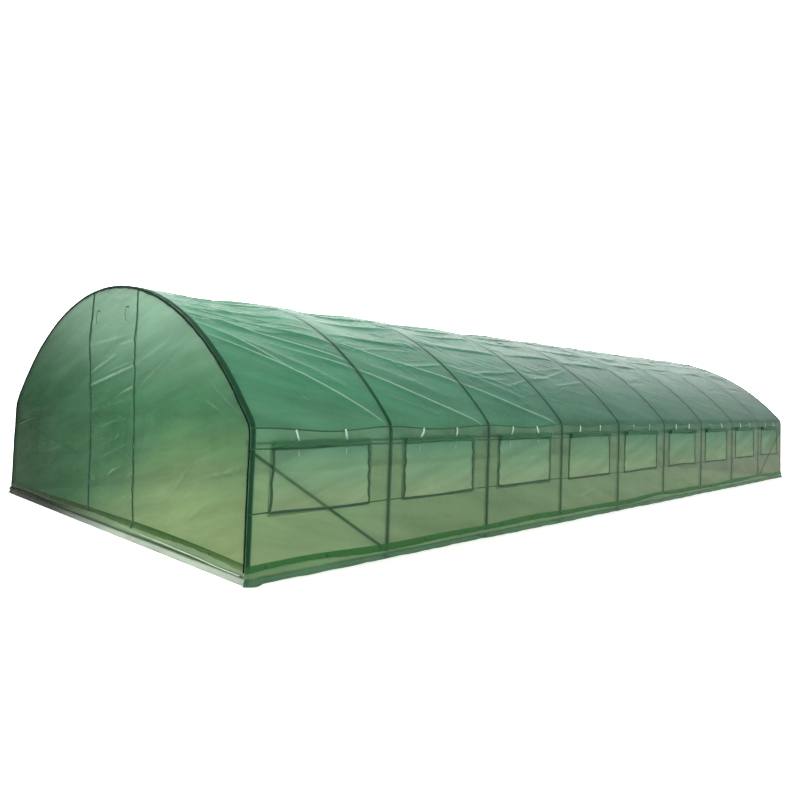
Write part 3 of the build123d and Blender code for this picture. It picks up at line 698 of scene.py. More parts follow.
seam_rows = np.linspace(-END, END, 360)
eave_seams = [carried(seam_line(seam_rows, side, SEAM_LENGTH, seam_sag(side * seam_rows),
                                FILM_OUT + SEAM_OFF), (side, 0, 0.3), strip_outline(*SEAM_STRIP))
              for side in (1, -1)]
eave_seam = piece("eave_seams", eave_seams, seam_weld, "roof_film")
roof_length(-END, hoop_places[2], 0.0118, 0.0095, "roof_film_front")
roof_length(hoop_places[2], hoop_places[5], 0.0165, 0.0135, "roof_film_middle")
roof_length(hoop_places[5], END, 0.0200, 0.0185, "roof_film_back")


# ---------------------------------------------------------------- side films and windows
# The same cloth below the eave, taut on the legs, with a welded line along the tops and one
# along the sills of nine windows. Each opening has insect mesh sewn in behind, a tape round it,
# and its flap rolled up above it in two white ties.
WINDOW_WIDTH = 0.920
TRIM_WIDTH = 0.019
trim_low, trim_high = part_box("right_window_trims")
WINDOW_TOP, SILL = trim_high.z, trim_low.z + TRIM_WIDTH
WINDOWS = (hoop_places[:-1] + hoop_places[1:]) / 2
FILM_FOOT = 0.035
SIDE_SPACING = 0.021  # between the grid points of the side film
SIDE_WELD = (0.010, 0.0014)  # width and thickness
TRIM_THICKNESS = 0.0018
EDGE_SHIFTS = {1: -0.045, -1: -0.025}  # of a window's back and front edges, off their places


def edge_ripple(z, window, edge):
    """How far a window's upright edge is from its drawn place: sewn in a little nearer the front,
    two sines of its height and a lean outwards at the foot, set by a random number."""
    random = np.random.default_rng(40 + 2 * window + (edge > 0))
    phase = random.uniform(0, 2 * np.pi, 2)
    size = random.uniform(0.001, 0.0055, 2)
    lean = edge * random.uniform(-0.01, 0.05)
    wave = size[0] * np.sin(z / 0.036 + phase[0]) + size[1] * np.sin(z / 0.018 + phase[1])
    return wave + lean * (WINDOW_TOP - z) + EDGE_SHIFTS[edge]


def sill_ripple(y, shift=0.0):
    """How far the welded line along the sills wanders from level."""
    return 0.006 * np.sin(1.7 * y + shift) + 0.004 * np.sin(5.3 * y + 1 + shift)


def side_places(y, down, out):
    """Places on the side film at lengths down the hoop, with window edges and sills wandering
    and the seam's sag dying away towards the purlin."""
    z = HOOP_LENGTH - down
    settle = np.clip((down - SEAM_LENGTH) / 0.12, 0, 1)
    down = down + seam_sag(y) * (1 - settle) ** 2
    down = down - sill_ripple(y) * np.exp(-(((z - SILL) / 0.12) ** 2))
    down = down - sill_ripple(y, 2.0) * np.exp(-(((z - WINDOW_TOP) / 0.03) ** 2))
    shift = np.zeros_like(y)
    tall = np.clip((z - SILL + 0.06) / 0.06, 0, 1) * np.clip((WINDOW_TOP + 0.03 - z) / 0.03, 0, 1)
    for window, middle in enumerate(WINDOWS):
        for edge in (1, -1):
            near = np.exp(-(((y - middle - edge * WINDOW_WIDTH / 2) / 0.07) ** 2))
            shift += edge_ripple(z, window, edge) * near * tall
    x, z = hoop_line(down, out)
    return x, y + shift, z


def side_height(y, down, seed):
    """How far the side film stands off its straight form between legs: a shallow sine hollow and
    long flat crumples, within 6 mm in and 20 mm out, and nothing near the ground."""
    middle = between_hoops(y)
    flank = np.clip((down - SEAM_LENGTH) / (HOOP_LENGTH - SEAM_LENGTH), 0, 1)
    height = -0.004 * middle * np.sin(np.pi * flank)
    height += crumples(y, down, 150, seed, 0.6, 0.022, 0.0065, lean=-0.1, spread=0.9)
    height += crumples(y, down, 60, seed + 1, 0.9, 0.05, 0.006, lean=-0.2, spread=0.6)
    held = np.clip((HOOP_LENGTH - down - 0.13) / 0.10, 0, 1)
    return np.clip(height, -0.006, 0.02) * np.clip(middle * 6 + 0.1, 0, 1) * held


def side_welds(name, spin):
    """Welded lines along the window tops and the sills."""
    lines = []
    for level in (WINDOW_TOP, SILL):
        rows = np.linspace(-END, END, 300)
        x, _, z = side_places(rows, np.full_like(rows, HOOP_LENGTH - level), FILM_OUT + SEAM_OFF)
        line = np.stack([x, rows, z], -1)
        lines.append(carried(line, (1, 0, 0), strip_outline(*SIDE_WELD)) * spin)
    return piece(f"{name}_side_seams", lines, seam_weld, "side_film")


trim_tape = coated_tape("window_tape", "#38634a", "#62946e", 0.45, 0.25)


def window_tapes(name, spin):
    """The tapes round the openings: two upright strips and two level ones to each."""
    outline = strip_outline(TRIM_WIDTH, TRIM_THICKNESS)
    outside = TRIM_WIDTH * 0.2  # of the opening's edge, to the middle of the tape
    strips = []
    for middle in WINDOWS:
        upright = np.linspace(SILL - TRIM_WIDTH / 2, WINDOW_TOP, 30)
        for edge in (1, -1):
            start = np.full_like(upright, middle + edge * (WINDOW_WIDTH / 2 + outside))
            strips.append(side_places(start, HOOP_LENGTH - upright, FILM_OUT + 0.0024))
        flat = np.linspace(middle - WINDOW_WIDTH / 2, middle + WINDOW_WIDTH / 2, 36)
        for level in (SILL - outside, WINDOW_TOP):
            down = np.full_like(flat, HOOP_LENGTH - level)
            strips.append(side_places(flat, down, FILM_OUT + 0.0022))
    trims = [carried(np.stack(strip, -1), (1, 0, 0), outline) * spin for strip in strips]
    return piece(f"{name}_window_tapes", trims, trim_tape, "window_tape",
                 f"{name}_window_trims")


def side_cloth(name, side, spin):
    """The side's cloth, with grid lines on the windows' edges and no faces inside them."""
    y_edges = np.sort([-END, *(WINDOWS - WINDOW_WIDTH / 2), *(WINDOWS + WINDOW_WIDTH / 2), END])
    down_edges = np.array([SEAM_LENGTH, HOOP_LENGTH - WINDOW_TOP, HOOP_LENGTH - SILL,
                           HOOP_LENGTH - FILM_FOOT])
    rows, columns = stops(y_edges, SIDE_SPACING), stops(down_edges, SIDE_SPACING)
    y, down = np.meshgrid(rows, columns, indexing="ij")
    height = side_height(y, down, 50 + side)
    centre_y = (rows[1:] + rows[:-1]) / 2
    centre_z = HOOP_LENGTH - (columns[1:] + columns[:-1]) / 2
    in_window = np.min(np.abs(centre_y[:, None] - WINDOWS), axis=1) < WINDOW_WIDTH / 2
    in_level = (centre_z > SILL) & (centre_z < WINDOW_TOP)
    made = piece(f"{name}_side_film",
                 [np.stack(side_places(y, down, FILM_OUT + height), -1) * spin], side_film,
                 "side_film", f"{name}_side_cover", closed=False,
                 keep=~np.outer(in_window, in_level), metres=np.stack([y, down], -1),
                 crease=creases_of(height, rows, columns))


# The mesh is painted darker towards its top, the roof's painted shadow, and a little lighter in the
# front bays, a painted shade; its brace number paints the braces' shade on it.
mesh_cloth = woven_film(
    "insect_mesh", levels=(0.50, 0.72, 0.96), shades=("#7a8a6c", "#6c8a6e", "#50796a"),
    glows=("#b6bc9e", "#a2b89c", "#86aa9a"), veil="#b8c9a2", clear=0.08,
    fade=(-5.6, -2.6, 1.06, 0.97), gloss=1.1, brace_shade=0.6)
SCREEN_SHIFT = -0.035  # of the screen, off the window's middle
SCREEN_SEAM = 0.030  # of mesh beyond the opening on each side
SCREEN_BELOW, SCREEN_ABOVE = 0.025, 0.015  # of mesh under the sill and over the opening's top
SCREEN_BEHIND = 0.0012  # of the screen from the legs' outer faces, inwards
SCREEN_SLACK = 0.004


def window_screen(name, spin, window, middle):
    """Insect mesh, taut behind the opening: it sinks in as a sine each way, most at its middle."""
    middle = middle + SCREEN_SHIFT
    reach = WINDOW_WIDTH / 2 + SCREEN_SEAM
    low, high = SILL - SCREEN_BELOW, WINDOW_TOP + SCREEN_ABOVE
    y, z = np.meshgrid(np.linspace(middle - reach, middle + reach, 24),
                       np.linspace(high, low, 14), indexing="ij")
    slack = np.sin(np.pi * (y - middle + reach) / (2 * reach))
    slack *= np.sin(np.pi * (z - low) / (high - low))
    x = HALF_WIDTH + TUBE / 2 - SCREEN_BEHIND - SCREEN_SLACK * slack
    mesh = piece(f"{name}_window_screen_{window + 1}", [np.stack([x, y, z], -1) * spin],
                 mesh_cloth, "window_mesh", f"{name}_window_screens", closed=False,
                 metres=np.stack([y, z], -1))


flap_film = coated_tape("rolled_film", "#689c7e", "#a4d4b4", 0.6, 0.62, 0.32)
roll_low, roll_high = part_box("right_window_flaps")
ROLL = roll_high.x - roll_low.x
ROLL_X, ROLL_Z = (roll_low.x + roll_high.x) / 2, (roll_low.z + roll_high.z) / 2
ROLL_LENGTH = 0.905
ROLL_SHIFT = -0.060  # of the roll, off the window's middle
ROLL_START = -2.8  # the angle where the flap's free edge shows
ROLL_CORE = 0.026  # how much smaller the innermost turn's radius is
TURNS = 5.4
TIE_SPACING = 0.465
TIE_SHIFT = -0.060  # of the pair of ties, off the window's middle


def window_roll(name, spin, window, middle):
    """The flap, a sheet wound inwards from the wall: its radius shrinks evenly with the angle,
    ripples by a few hundredths, and the inner turns stand out at the ends. The roll hangs
    between its ties."""
    middle = middle + ROLL_SHIFT
    rows = np.linspace(middle - ROLL_LENGTH / 2, middle + ROLL_LENGTH / 2, 25)
    y, angle = np.meshgrid(rows, np.linspace(ROLL_START + 2 * np.pi * TURNS, ROLL_START, 60),
                           indexing="ij")
    inward = (angle - ROLL_START) / (2 * np.pi * TURNS)
    radius = ROLL / 2 - ROLL_CORE * inward
    y = y + 0.012 * inward * np.clip((y - middle) / (ROLL_LENGTH / 2), -1, 1) ** 9
    radius *= 1 + 0.04 * np.sin(3 * angle + 9 * y + window) + 0.03 * np.sin(23 * y + 2 * angle)
    hang = 0.004 * np.cos(2 * np.pi * (y - middle) / TIE_SPACING + 0.6 * window)
    x = ROLL_X + 0.98 * radius * np.cos(angle)
    z = ROLL_Z + radius * np.sin(angle) + hang
    roll = piece(f"{name}_window_roll_{window + 1}", [np.stack([x, y, z], -1) * spin],
                 flap_film, "rolled_film", f"{name}_window_flaps", closed=False,
                 metres=np.stack([y, 0.02 * angle], -1))


webbing = coated_tape("white_webbing", "#c3d6cf", "#d5e6de", 0.3, 0.05, 0.7)
thin_webbing = coated_tape("thin_webbing", "#c3d6cf", "#d5e6de", 0.3, 0.65, 0.7)
tie_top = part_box("right_window_ties")[1].z
TIE_STRIP, TAIL_STRIP = (0.018, 0.0014), (0.014, 0.0014)  # width and thickness


def window_ties(name, side, spin):
    """Two ties to each window, from the seam down behind the roll. Each slants and twists by its
    own random numbers, and a thin tail of it hangs inside."""
    ties, tails = [], []
    for window, middle in enumerate(WINDOWS):
        for step in (TIE_SHIFT - TIE_SPACING / 2, TIE_SHIFT + TIE_SPACING / 2):
            random = np.random.default_rng(100 + 4 * window + (step > 0) + 2 * (side > 0))
            slant, twist = random.uniform(-0.022, 0.022), random.uniform(-0.7, 0.7)
            along = np.linspace(0, 1, 18)
            z = tie_top + (ROLL_Z - 0.01 - tie_top) * along
            x = HALF_WIDTH + FILM_OUT + 0.003 + 0.010 * np.sin(np.pi * along) ** 2
            y = middle + step + slant * np.cos(np.pi * along) + 0.003 * np.sin(9 * along)
            turned = twist * np.sin(np.pi * along) ** 2
            across, thick = np.array(strip_outline(*TIE_STRIP)).T
            wide = np.outer(np.cos(turned), across) - np.outer(np.sin(turned), thick)
            deep = np.outer(np.sin(turned), across) + np.outer(np.cos(turned), thick)
            ties.append(carried(np.stack([x, y, z], -1), (1, 0, 0),
                                np.stack([wide, deep], -1)) * spin)
            z = np.linspace(WINDOW_TOP - 0.02, WINDOW_TOP - 0.075, 6)
            x = HALF_WIDTH + FILM_OUT + 0.001 + 0.001 * np.sin(60 * z)
            y = middle + step - slant + 0.2 * slant * np.sin(40 * z)
            tails.append(carried(np.stack([x, y, z], -1), (1, 0, 0),
                                 strip_outline(*TAIL_STRIP)) * spin)
    piece(f"{name}_window_tails", tails, thin_webbing, "white_webbing")
    piece(f"{name}_window_webbing", ties, webbing, "white_webbing", f"{name}_window_ties")


for side, name in ((1, "right"), (-1, "left")):
    spin = (side, side, 1)
    welds = side_welds(name, spin)
    tapes = window_tapes(name, spin)
    side_cloth(name, side, spin)
    for window, middle in enumerate(WINDOWS):
        window_screen(name, spin, window, middle)
        window_roll(name, spin, window, middle)
    window_ties(name, side, spin)


# ---------------------------------------------------------------- end films, zips and toggles
# Each end is a flat wall of the same cloth in three widths, with a door between two long zips.
# The door would be rolled up and held by two toggles near its head. The zips lean and kink where
# the cloth is pulled, and the cloth creases slantwise between them.
END_FILM_GAP = 0.0043  # from the end hoop's outer face to the end film's middle
END_PLANE = FRONT - TUBE / 2 - END_FILM_GAP
outline_x, outline_z = hoop_line(np.linspace(0, HOOP_LENGTH, 1200), TUBE / 2 + 0.0005)
widest = int(np.argmax(outline_x > outline_x.max() - 1e-7))
outline_x, outline_z = outline_x[: widest + 1], outline_z[: widest + 1]


def arch_top(x):
    """Height of the arch over a place across the end."""
    return np.interp(np.abs(x), outline_x, outline_z)


def left_zip(z):
    """Place across of the left zip: it leans outwards with the square of the height, by 172 mm up
    to a kink at 1.68 m, then a little back."""
    return -0.195 - 0.172 * np.minimum(z / 1.68, 1) ** 2 + 0.03 * np.clip((z - 1.68) / 0.5, 0, 1)


def right_zip(z):
    """Place across of the right zip: straight down from the arch, then bent to the right by
    133 mm at its foot, where the hem band pulls it back."""
    bend = 0.65 + 0.133 * np.clip((1.66 - z) / 1.5, 0, 1) ** 1.3
    return bend - 0.06 * np.clip((0.16 - z) / 0.07, 0, 1) + 0.002 * np.sin(14 * z)


def edge_left(z):
    """The end's left edge."""
    return np.full_like(z, -outline_x[-1])


def edge_right(z):
    """The end's right edge."""
    return np.full_like(z, outline_x[-1])


LONG_FOLDS = (
    # start and end as places across and up, half width, rise, bow, width of the lower side
    ((-0.36, 1.715), (0.60, 1.800), 0.020, 0.012, 0.0, 3.0),
    ((-1.30, 1.965), (0.70, 1.850), 0.045, 0.005, 0.0, 1.0),
    ((-0.34, 1.435), (0.28, 1.620), 0.012, 0.010, 0.0, 2.5),
    ((-0.33, 1.315), (0.30, 1.440), 0.014, 0.013, 0.0, 2.5),
    ((0.05, 1.385), (0.78, 1.540), 0.014, 0.013, 0.0, 2.5),
    ((-0.05, 1.430), (0.70, 1.560), 0.010, 0.008, 0.0, 2.0),
    ((0.36, 1.250), (0.72, 1.345), 0.011, 0.009, 0.0, 2.0),
    ((0.28, 1.700), (0.68, 1.740), 0.011, 0.008, 0.0, 2.0),
    ((0.70, 1.525), (1.34, 1.730), 0.014, 0.012, 0.0, 2.5),
    ((0.72, 1.300), (1.26, 1.570), 0.011, 0.008, 0.0, 2.0),
    ((-0.22, 0.880), (0.50, 1.060), 0.030, 0.009, 0.0, 3.0),
    ((-0.24, 1.080), (0.66, 1.230), 0.030, 0.008, 0.0, 3.0),
    ((-0.20, 0.580), (0.68, 0.850), 0.034, 0.009, 0.0, 3.0),
    ((-0.18, 0.700), (0.66, 0.960), 0.030, 0.007, 0.0, 3.0),
    ((-0.18, 0.420), (0.60, 0.640), 0.034, 0.008, 0.0, 3.0),
    ((-1.60, 0.520), (-0.36, 0.850), 0.050, 0.012, 0.0, 2.5),
    ((-2.40, 0.300), (-0.30, 0.560), 0.050, 0.010, 0.0, 2.0),
    ((-2.40, 0.440), (-0.80, 0.700), 0.045, 0.009, 0.0, 2.0),
    ((-2.46, 0.815), (-1.70, 0.960), 0.010, 0.009, 0.0, 2.0),
    ((-2.30, 0.940), (-0.60, 1.250), 0.070, 0.014, 0.0, 1.5),
    ((0.12, 2.150), (0.80, 2.160), 0.040, 0.012, 0.0, 1.0),
    ((1.46, 0.510), (1.68, 0.720), 0.009, 0.008, 0.0, 1.5),
    ((1.64, 0.290), (1.96, 0.480), 0.009, 0.008, 0.0, 1.5),
    ((1.80, 0.640), (2.46, 0.790), 0.010, 0.008, 0.0, 2.0),
    ((1.55, 1.400), (2.30, 1.080), 0.012, 0.007, 0.0, 1.5),
    ((1.85, 1.420), (2.44, 1.120), 0.010, 0.008, 0.0, 1.5),
    ((1.60, 1.300), (2.10, 1.180), 0.010, 0.006, 0.0, 1.5),
    ((1.25, 1.120), (1.72, 1.060), 0.009, 0.006, 0.02, 1.5),
)


def end_height(x, z, seed):
    """How far the end film stands out from its plane: the sum of long folds and short crumples,
    within 6 mm in and 30 mm out, fading towards the arch and the ground, where it is held."""
    height = sum(fold(x, z, *each) for each in LONG_FOLDS)
    height += crumples(x, z, 130, seed, 0.30, 0.012, 0.0036, lean=0.3, spread=1.6)
    height += crumples(x, z, 26, seed + 9, 1.3, 0.09, 0.008, lean=0.25, spread=0.7)
    held = np.clip((arch_top(x) - z) / 0.10, 0, 1) * np.clip((z - 0.17) / 0.12, 0, 1)
    return np.clip(height, -0.006, 0.03) * held


END_SEED = 5
GRID_TOP = 2.0  # height that the evenly spaced grid of an end's width is first laid out to


def end_film_piece(name, way, left, right, spacing, replaced):
    """One width of an end: rows from right to left, columns from the ground up to the arch."""
    wide = np.ptp(np.concatenate([left(np.zeros(1)), right(np.zeros(1))]))
    count = int(wide / spacing)
    across, up = np.meshgrid(np.linspace(1, 0, count), np.linspace(0, 1, int(2.1 / spacing)),
                             indexing="ij")
    x = left(up * GRID_TOP) * (1 - across) + right(up * GRID_TOP) * across
    z = up * arch_top(x)
    x = left(z) * (1 - across) + right(z) * across
    height = end_height(x, z, END_SEED)
    crease = 0.8 * creases_of(height, np.arange(count) * wide / count, up[0] * GRID_TOP)
    made = piece(name, [np.stack([x, END_PLANE - height, z], -1) * (way, way, 1)], end_film,
                 "end_film", replaced, closed=False, metres=np.stack([x, z], -1), crease=crease)


def on_end(x, z, out=0.0):
    """Places on the end film at a stand-off."""
    return np.stack([x, END_PLANE - end_height(x, z, END_SEED) - out, z], -1)


zip_tape = coated_tape("zip_tape", "#274a3a", "#44705a", 0.4, 0.12, 0.6, 1.2)
zip_coil = coated_tape("zip_coil", "#3f6050", "#4d6a60", 0.1, 0.0, 0.5)
ZIP_FOOT = 0.012
LEFT_TAPE, RIGHT_TAPE = 0.036, 0.027  # widths of the two zips' tapes
COIL = (0.0030, 0.0022)  # half its width and half its height


def door_zips(name, spin):
    """The two zips: a flat tape on the film, and its coil as an oval bead along the middle."""
    tapes, coils = [], []
    for line, wide in ((left_zip, LEFT_TAPE), (right_zip, RIGHT_TAPE)):
        z = np.linspace(ZIP_FOOT, GRID_TOP, 170)
        z = z * (arch_top(line(z)) - ZIP_FOOT) / GRID_TOP
        tapes.append(carried(on_end(line(z), z, 0.0030), (0, -1, 0),
                             strip_outline(wide, 0.0016)) * spin)
        coils.append(carried(on_end(line(z), z, 0.0045), (0, -1, 0),
                             ring(8, *COIL)) * spin)
    zips = piece(f"{name}_zip_tapes", tapes, zip_tape, "zip_tape", f"{name}_door_zips")
    return zips, piece(f"{name}_zip_coils", coils, zip_coil, "zip_tape")


strap_cloth = coated_tape("door_strap", "#2c4638", "#5f8a73", 0.4, 0.45)
TOGGLE_HEIGHT = 2.045
TOGGLES = ((-0.177, 0.012), (0.460, 0.020))  # place across, and how far the strap sways aside
BARREL_LENGTH, BARREL_RADIUS = 0.026, 0.006
STRAP_LENGTH = 0.13
STRAP = (0.010, 0.0018)  # width and thickness


def door_toggles(name, spin):
    """The toggles: a small turned barrel sewn to the film, and a strap hanging from it that
    sways aside."""
    parts = []
    widths = np.array([0.7, 1, 0.8, 1, 0.7])[:, None, None]
    for x, sway in TOGGLES:
        barrel = np.stack([x + np.linspace(-BARREL_LENGTH / 2, BARREL_LENGTH / 2, 5),
                           np.full(5, END_PLANE - 0.010), np.full(5, TOGGLE_HEIGHT)], -1)
        parts.append(carried(barrel, (0, 0, 1),
                             ring(12, BARREL_RADIUS, BARREL_RADIUS) * widths) * spin)
        z = np.linspace(TOGGLE_HEIGHT, TOGGLE_HEIGHT - STRAP_LENGTH, 12)
        hang = x + sway * (TOGGLE_HEIGHT - z) / STRAP_LENGTH + 0.004 * np.sin(40 * z)
        parts.append(carried(on_end(hang, z, 0.0035), (0, -1, 0),
                             strip_outline(*STRAP)) * spin)
    piece(f"{name}_door_toggles", parts, strap_cloth, "door_strap", f"{name}_door_ties")


for way, name in ((1, "front"), (-1, "back")):
    zips, coils = door_zips(name, (way, way, 1))
    end_film_piece(f"{name}_left_film", way, edge_left, left_zip, 0.0200,
                   f"{name}_wall_left")
    end_film_piece(f"{name}_door_film", way, left_zip, right_zip, 0.0120,
                   f"{name}_door_panel")
    end_film_piece(f"{name}_right_film", way, right_zip, edge_right, 0.0180,
                   f"{name}_wall_right")
    door_toggles(name, (way, way, 1))


# ---------------------------------------------------------------- arch hems
# The roof cloth is doubled and turned over the end hoops onto the end walls. A black cord on the
# corner paints the shadowed gap between the cloth and the hoop, a painted shadow.
HEM_DEPTH = 0.046  # of the hem along the roof
SHADOW_CORD = (0.0060, 0.0045)  # half its width and half its thickness
arch_cloth = coated_tape("arch_hem_tape", "#1f5038", "#438560", 0.45, 0.12, 0.6, 1.2)
shadow_cord = coated_tape("painted_shadow_cord", "#07140d", "#07140d", 0.0, 0.0, 0.6, 1.15)
hem_along = np.linspace(-HOOP_LENGTH + 0.004, HOOP_LENGTH - 0.004, 320)


def hem_wave(along):
    """How unevenly the hem's inner edge runs."""
    return 0.004 * np.sin(9 * along) + 0.003 * np.sin(23 * along + 1)


def arch_hem(name, way):
    """The hem: its section goes from the roof over the corner and down the end wall, each point
    given by how far it stands off the hoop's line and how far back from the end."""
    spin = (way, way, 1)
    out = np.array([0.0035, 0.0034, 0.0032, 0.002, -0.003, -0.012, -0.022]) + TUBE / 2
    back = np.array([HEM_DEPTH, HEM_DEPTH * 0.66, HEM_DEPTH * 0.33, 0.004, 0.0, 0.0, 0.0])
    along, lift = np.meshgrid(hem_along, out, indexing="ij")
    depth = np.broadcast_to(back, lift.shape)
    lift = lift - hem_wave(along) * (depth == 0) * (lift < TUBE / 2)
    x, z = hoop_line(along, lift)
    narrower = 1 - 0.25 * np.clip((np.abs(along) - ROOF_LENGTH) / BEND_LENGTH, 0, 1)
    y = END_PLANE - 0.0022 + depth * narrower * (1 + hem_wave(along) * 10)
    hem = piece(f"{name}_arch_cloth", [np.stack([x, y, z], -1) * spin], arch_cloth,
                "arch_hem_tape", f"{name}_arch_hem", closed=False,
                metres=np.stack([along, depth + lift], -1))
    # The black cord along the corner is a painted shadow of the gap.
    x, z = hoop_line(hem_along, 0.004 + hem_wave(hem_along))
    cord = np.stack([x, np.full_like(x, END_PLANE - 0.004), z], -1)
    piece(f"{name}_arch_shadow_cord", [carried(cord, (0, -1, 0), ring(8, *SHADOW_CORD)) * spin],
          shadow_cord, "arch_hem_tape")


arch_hem("front", 1)
arch_hem("back", -1)


# ---------------------------------------------------------------- hem bands and ground flaps
# A doubled band with eyelets runs round the foot. Below it the cloth bulges, folds back on
# itself and lies out on the ground, and the flaps of side and end meet in a point at the corner.
BAND = 0.056
SIDE_BAND_LEVEL, END_BAND_LEVEL = 0.098, 0.151
BAND_CREST = 0.9  # place across an end where its band is highest
OUTWARDS = {"right": (1, 0, 0), "left": (-1, 0, 0), "front": (0, -1, 0), "back": (0, 1, 0)}
hem_cloth = coated_tape("hem_band", "#2e6e33", "#4a904c", 0.4, 0.14)
# The end band is darker towards the top, and painted darker on the left, a painted shade.
end_hem_cloth = woven_film(
    "end_hem_band", levels=(0.10, 0.135, 0.17), shades=("#8a9a70", "#587848", "#3c6638"),
    glows=("#a2b088", "#6f9058", "#4f8048"), veil="#a9cf9f", clear=0.1,
    fade=(-1.6, 1.4, 0.30, 1.0), gloss=1.1)


def band_level(s, seed, kind):
    """Height of the hem band's middle: it rises and falls along a side by some 15 mm. On an end
    it falls steadily to the left of its crest and as a square to the right."""
    if kind == "end":
        right_of, left_of = np.maximum(s - BAND_CREST, 0), np.maximum(BAND_CREST - s, 0)
        return END_BAND_LEVEL - 0.0126 * right_of**2 - 0.013 * left_of
    return SIDE_BAND_LEVEL + 0.009 * np.sin(1.9 * s + seed) + 0.005 * np.sin(4.3 * s + 2 * seed)


def foot_places(s, out, z, half, wall, name):
    """Places beside a wall at distances along it, out of it and up, turned to face its way. Ends
    fan out so that neighbouring walls meet on the corner's diagonal."""
    fan = np.clip((np.abs(s) - half + 0.08) / 0.08, 0, 1) * np.sign(s)
    s, out, z = np.broadcast_arrays(s + out * fan, wall + out, z)
    x_out, y_out, _ = OUTWARDS[name]
    return np.stack([x_out * out - y_out * s, y_out * out + x_out * s, z], -1)


def hem_band(name, half, wall, kind, seed):
    """The band, which puckers off the wall: a sine of its length and height, and a shorter sine
    of its length times its height."""
    s, up = np.meshgrid(stops([-half, half], 0.03), np.linspace(1, -1, 7), indexing="ij")
    z = band_level(s, seed, kind) + up * BAND / 2
    pucker = 0.0022 + 0.0012 * np.sin(31 * s + 3 * up) + 0.0010 * np.sin(73 * s) * up
    return piece(f"{name}_hem_cloth", [foot_places(s, pucker, z, half + 1, wall, name)],
                 end_hem_cloth if kind == "end" else hem_cloth, "hem_band", f"{kind}_hem_bands",
                 closed=False, metres=np.stack([s, up], -1))


eyelet_metal = galvanised_steel("eyelet_metal", "#38503c", "#22352a", 0.4)
EYELET_RADIUS = 0.009
EYELET_RIM = (0.0028, 0.0014)  # half the rim's width and half its thickness
EYELET_SPACING = 0.55
FIRST_EYELET = 0.17  # from the wall's end


def hem_eyelets(name, half, wall, kind, seed):
    """Eyelets: flattened rings in the middle of the band."""
    rings = []
    turn = np.linspace(0, 2 * np.pi, 17)
    for place in np.arange(-half + FIRST_EYELET, half, EYELET_SPACING):
        s = place + EYELET_RADIUS * np.cos(turn)
        z = band_level(place, seed, kind) + EYELET_RADIUS * np.sin(turn)
        path = foot_places(s, 0.0045, z, half + 1, wall, name)
        rings.append(carried(path, OUTWARDS[name], ring(8, *EYELET_RIM)))
    return piece(f"{name}_eyelets", rings, eyelet_metal, "hem_band")


# The flap's section, out from the wall and up, from the band's lower edge to the ground.
FLAP_OUT = (0.001, 0.008, 0.013, 0.016, 0.014, 0.010, 0.012, 0.017, 0.023, 0.031, 0.039)
FLAP_UP = (0.074, 0.069, 0.063, 0.057, 0.051, 0.043, 0.034, 0.024, 0.013, 0.005, 0.002)
BAND_UNDERSIDE = 0.024  # from the band's middle to where the flap starts


def flap_points(name, half, wall, kind, seed):
    """The flap: its section swells and shrinks along the wall by a few sines, and is stretched
    up to the band. An end's lies close to the wall, and a side's runs out at the front corner."""
    columns = np.arange(len(FLAP_OUT))
    s, column = np.meshgrid(stops([-half, half], 0.022), columns, indexing="ij")
    swell = 1 + 0.25 * np.sin(2.1 * s + seed) + 0.15 * np.sin(5.7 * s + 2 * seed)
    swell += 0.06 * np.sin(29 * s + column) + 0.05 * np.sin(47 * s - 1.5 * column)
    lower = np.clip((column - 4) / 6, 0, 1)
    out = np.array(FLAP_OUT) * np.clip(swell, 0.55, 1.25) * (1 - 0.2 * lower)
    z = np.array(FLAP_UP) * (1 + 0.12 * np.sin(3.1 * s + seed) * (1 - lower)) + 0.0012
    z = z * (band_level(s, seed, kind) - BAND_UNDERSIDE) / FLAP_UP[0]
    if kind == "end":
        out = out * (1 - 0.75 * lower)
    if name == "right":
        out = out + 0.045 * lower * np.clip(1 - np.abs(s + half - 0.06) / 0.07, 0, 1)
    z += 0.002 * lower * (1 + np.sin(17 * s + seed + column))
    return foot_places(s, out, z, half, wall, name), np.stack([s, out + z], -1)


# A pale strip that paints the highlight on the end flap's fold.
fold_highlight_tape = coated_tape("painted_fold_highlight", "#dfe9e0", "#e6efe8", 0.5, 0.1, 0.3)
EDGE_STRIP = (0.0075, 0.0014)  # width and thickness


def end_fold_highlight(name, half, wall):
    """The end flap's folded edge: a thin strip painted pale as a highlight on the fold's crest. It
    falls
    20 mm a metre.
    """
    s = np.linspace(0.5, half - 0.03, 70)
    line = foot_places(s, 0.023 + 0.002 * np.sin(9 * s),
                       0.121 - 0.0205 * s + 0.002 * np.sin(5 * s), half + 1, wall, name)
    tapered = np.clip(np.stack([s - 0.49, np.ones_like(s)], -1), 0, (0.8, 1.0))[:, None]
    edge = carried(line, (0, OUTWARDS[name][1], 0.2),
                   np.array(strip_outline(*EDGE_STRIP)) * tapered)
    piece(f"{name}_fold_highlight_tape", [edge], fold_highlight_tape, "ground_film")


SIDE_WALL, END_WALL = HALF_WIDTH + FILM_OUT, -END_PLANE
walls = (("right", END, SIDE_WALL, "side"), ("left", END, SIDE_WALL, "side"),
         ("front", SIDE_WALL, END_WALL, "end"), ("back", SIDE_WALL, END_WALL, "end"))
for seed, (name, half, wall, kind) in enumerate(walls):
    band = hem_band(name, half, wall, kind, seed)
    eyelets = hem_eyelets(name, half, wall, kind, seed)
    if kind == "end":
        end_fold_highlight(name, half, wall)
    points, metres = flap_points(name, half, wall, kind, seed)
    flap = piece(f"{name}_ground_cloth", [points],
                 end_flap_film if kind == "end" else side_flap_film, "ground_film",
                 f"{kind}_ground_flaps", closed=False, metres=metres)


